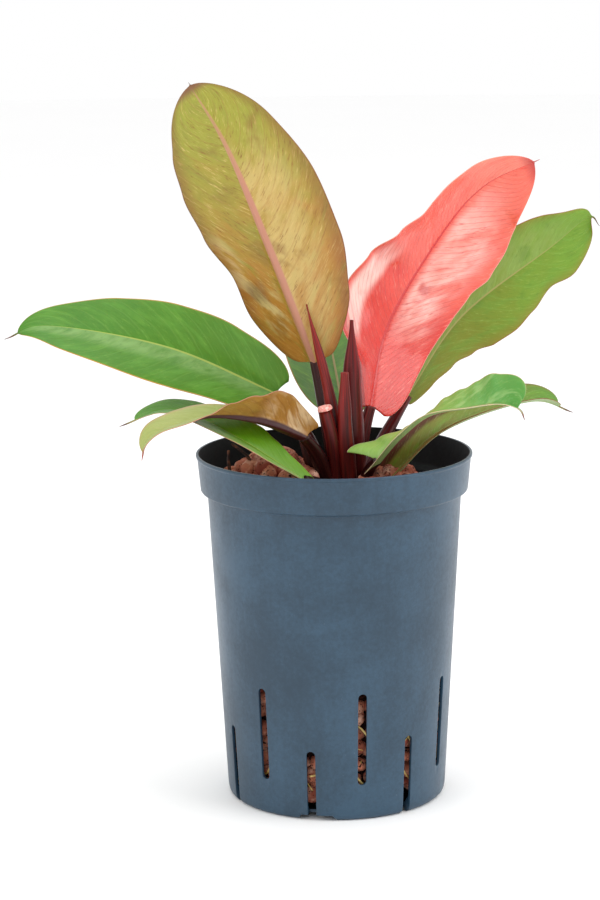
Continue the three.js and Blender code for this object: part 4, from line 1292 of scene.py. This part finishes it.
frontRightLeaf = dict(
    midrib=[[30, -30, 16], [59, -20, 40], [106, 0, 51], [130, 8, 43]], bearing=15, turn=[0],
    halfWidth=14.5, foldLeft=[40, 35, 35, 40, 45], foldRight=[14], outline=dict(widest=0.5, base=0.55, tip=3),
    tail=0.08,
    lobe=3, rib=1.8,
)
frontRightUpper = leafSkin("frontRightLeafUpper", dict(
    greenUpper, low="7d7c30", high="558428", dark="565c1a", light="a8b070", rib="8a8a50", margin="7a2c28",
    tail="4f1f1c",
    seed=22.0, ribWidth=0.05, bandShare=0.35, zones=(
        dict(tint="4c1014", side="left", along=(-0.2, 0.0, 0.6, 0.85), across=(0.5, 0.7, 1.1, 1.2),
        patchFrom=-1.0,
             patchFull=0.0, share=0.92),)))
frontRightUnder = leafSkin("frontRightLeafUnder", dict(greenUnder, seed=23.0))

leafList = [
    ("tallLeaf", tallLeaf, "tall_leaf", "olive_blade", tallUpper, tallUnder,
     [[3, -9, 2], [-3, -12, 38]], [5, 3.6, 2.8], stalkDark),
    ("redLeaf", redLeaf, "red_leaf", "red_blade", redUpper, redUnder,
     [[10, 1, 2], [15, 3, 29]], [5.5, 4, 3], stalkRose),
    ("rightLeaf", rightLeaf, "right_leaf", "green_blade", rightUpper, rightUnder,
     [[13, 6, 2], [27, 22, 26]], [5, 3.6, 2.6], stalkWine),
    ("rearLeaf", rearLeaf, "rear_leaf", "green_blade", rearUpper, rearUnder,
     [[6, 7, 2], [6, 22, 25]], [4.5, 3.2, 2.4], stalkWine),
    ("leftLeaf", leftLeaf, "left_leaf", "green_blade", leftUpper, leftUnder,
     [[-1, -7, 2], [-13, -6, 32]], [4, 3, 2.2], stalkWine),
    ("bronzeLeaf", bronzeLeaf, "bronze_leaf", "bronze_blade", bronzeUpper, bronzeUnder,
     [[0, -15, 2], [-9, -26, 27]], [6, 4.4, 3.2], stalkDark),
    ("lowLeftLeaf", lowLeftLeaf, "low_left_leaf", "green_blade", lowLeftUpper, lowLeftUnder,
     [[-3, -17, 4], [-9, -31, 13]], [3.6, 3, 2.4], stalkDark),
    ("lowRightLeaf", lowRightLeaf, "low_right_leaf", "green_blade", lowRightUpper, lowRightUnder,
     [[13, -16, 4], [19, -29, 20]], [4, 3.2, 2.4], stalkDark),
    ("frontRightLeaf", frontRightLeaf, "front_right_leaf", "green_blade", frontRightUpper, frontRightUnder,
     [[17, -13, 2], [24, -23, 9]], [4.2, 3.2, 2.4], stalkDark),
]
for name, leaf, node, slotName, upper, under, stalkPath, stalkRadii, stalkSkin in leafList:
    makeBlade(name + "Blade", leaf, node + "_blade", slotName, upper, under)
    tubeMesh(name + "Stalk", abovePot([*stalkPath, leaf["midrib"][0]]), stalkRadii, groovedSection,
        material=stalkSkin,
             replaced=(node + "_stalk",), slotName="leaf_stalk")
print("leaves made")
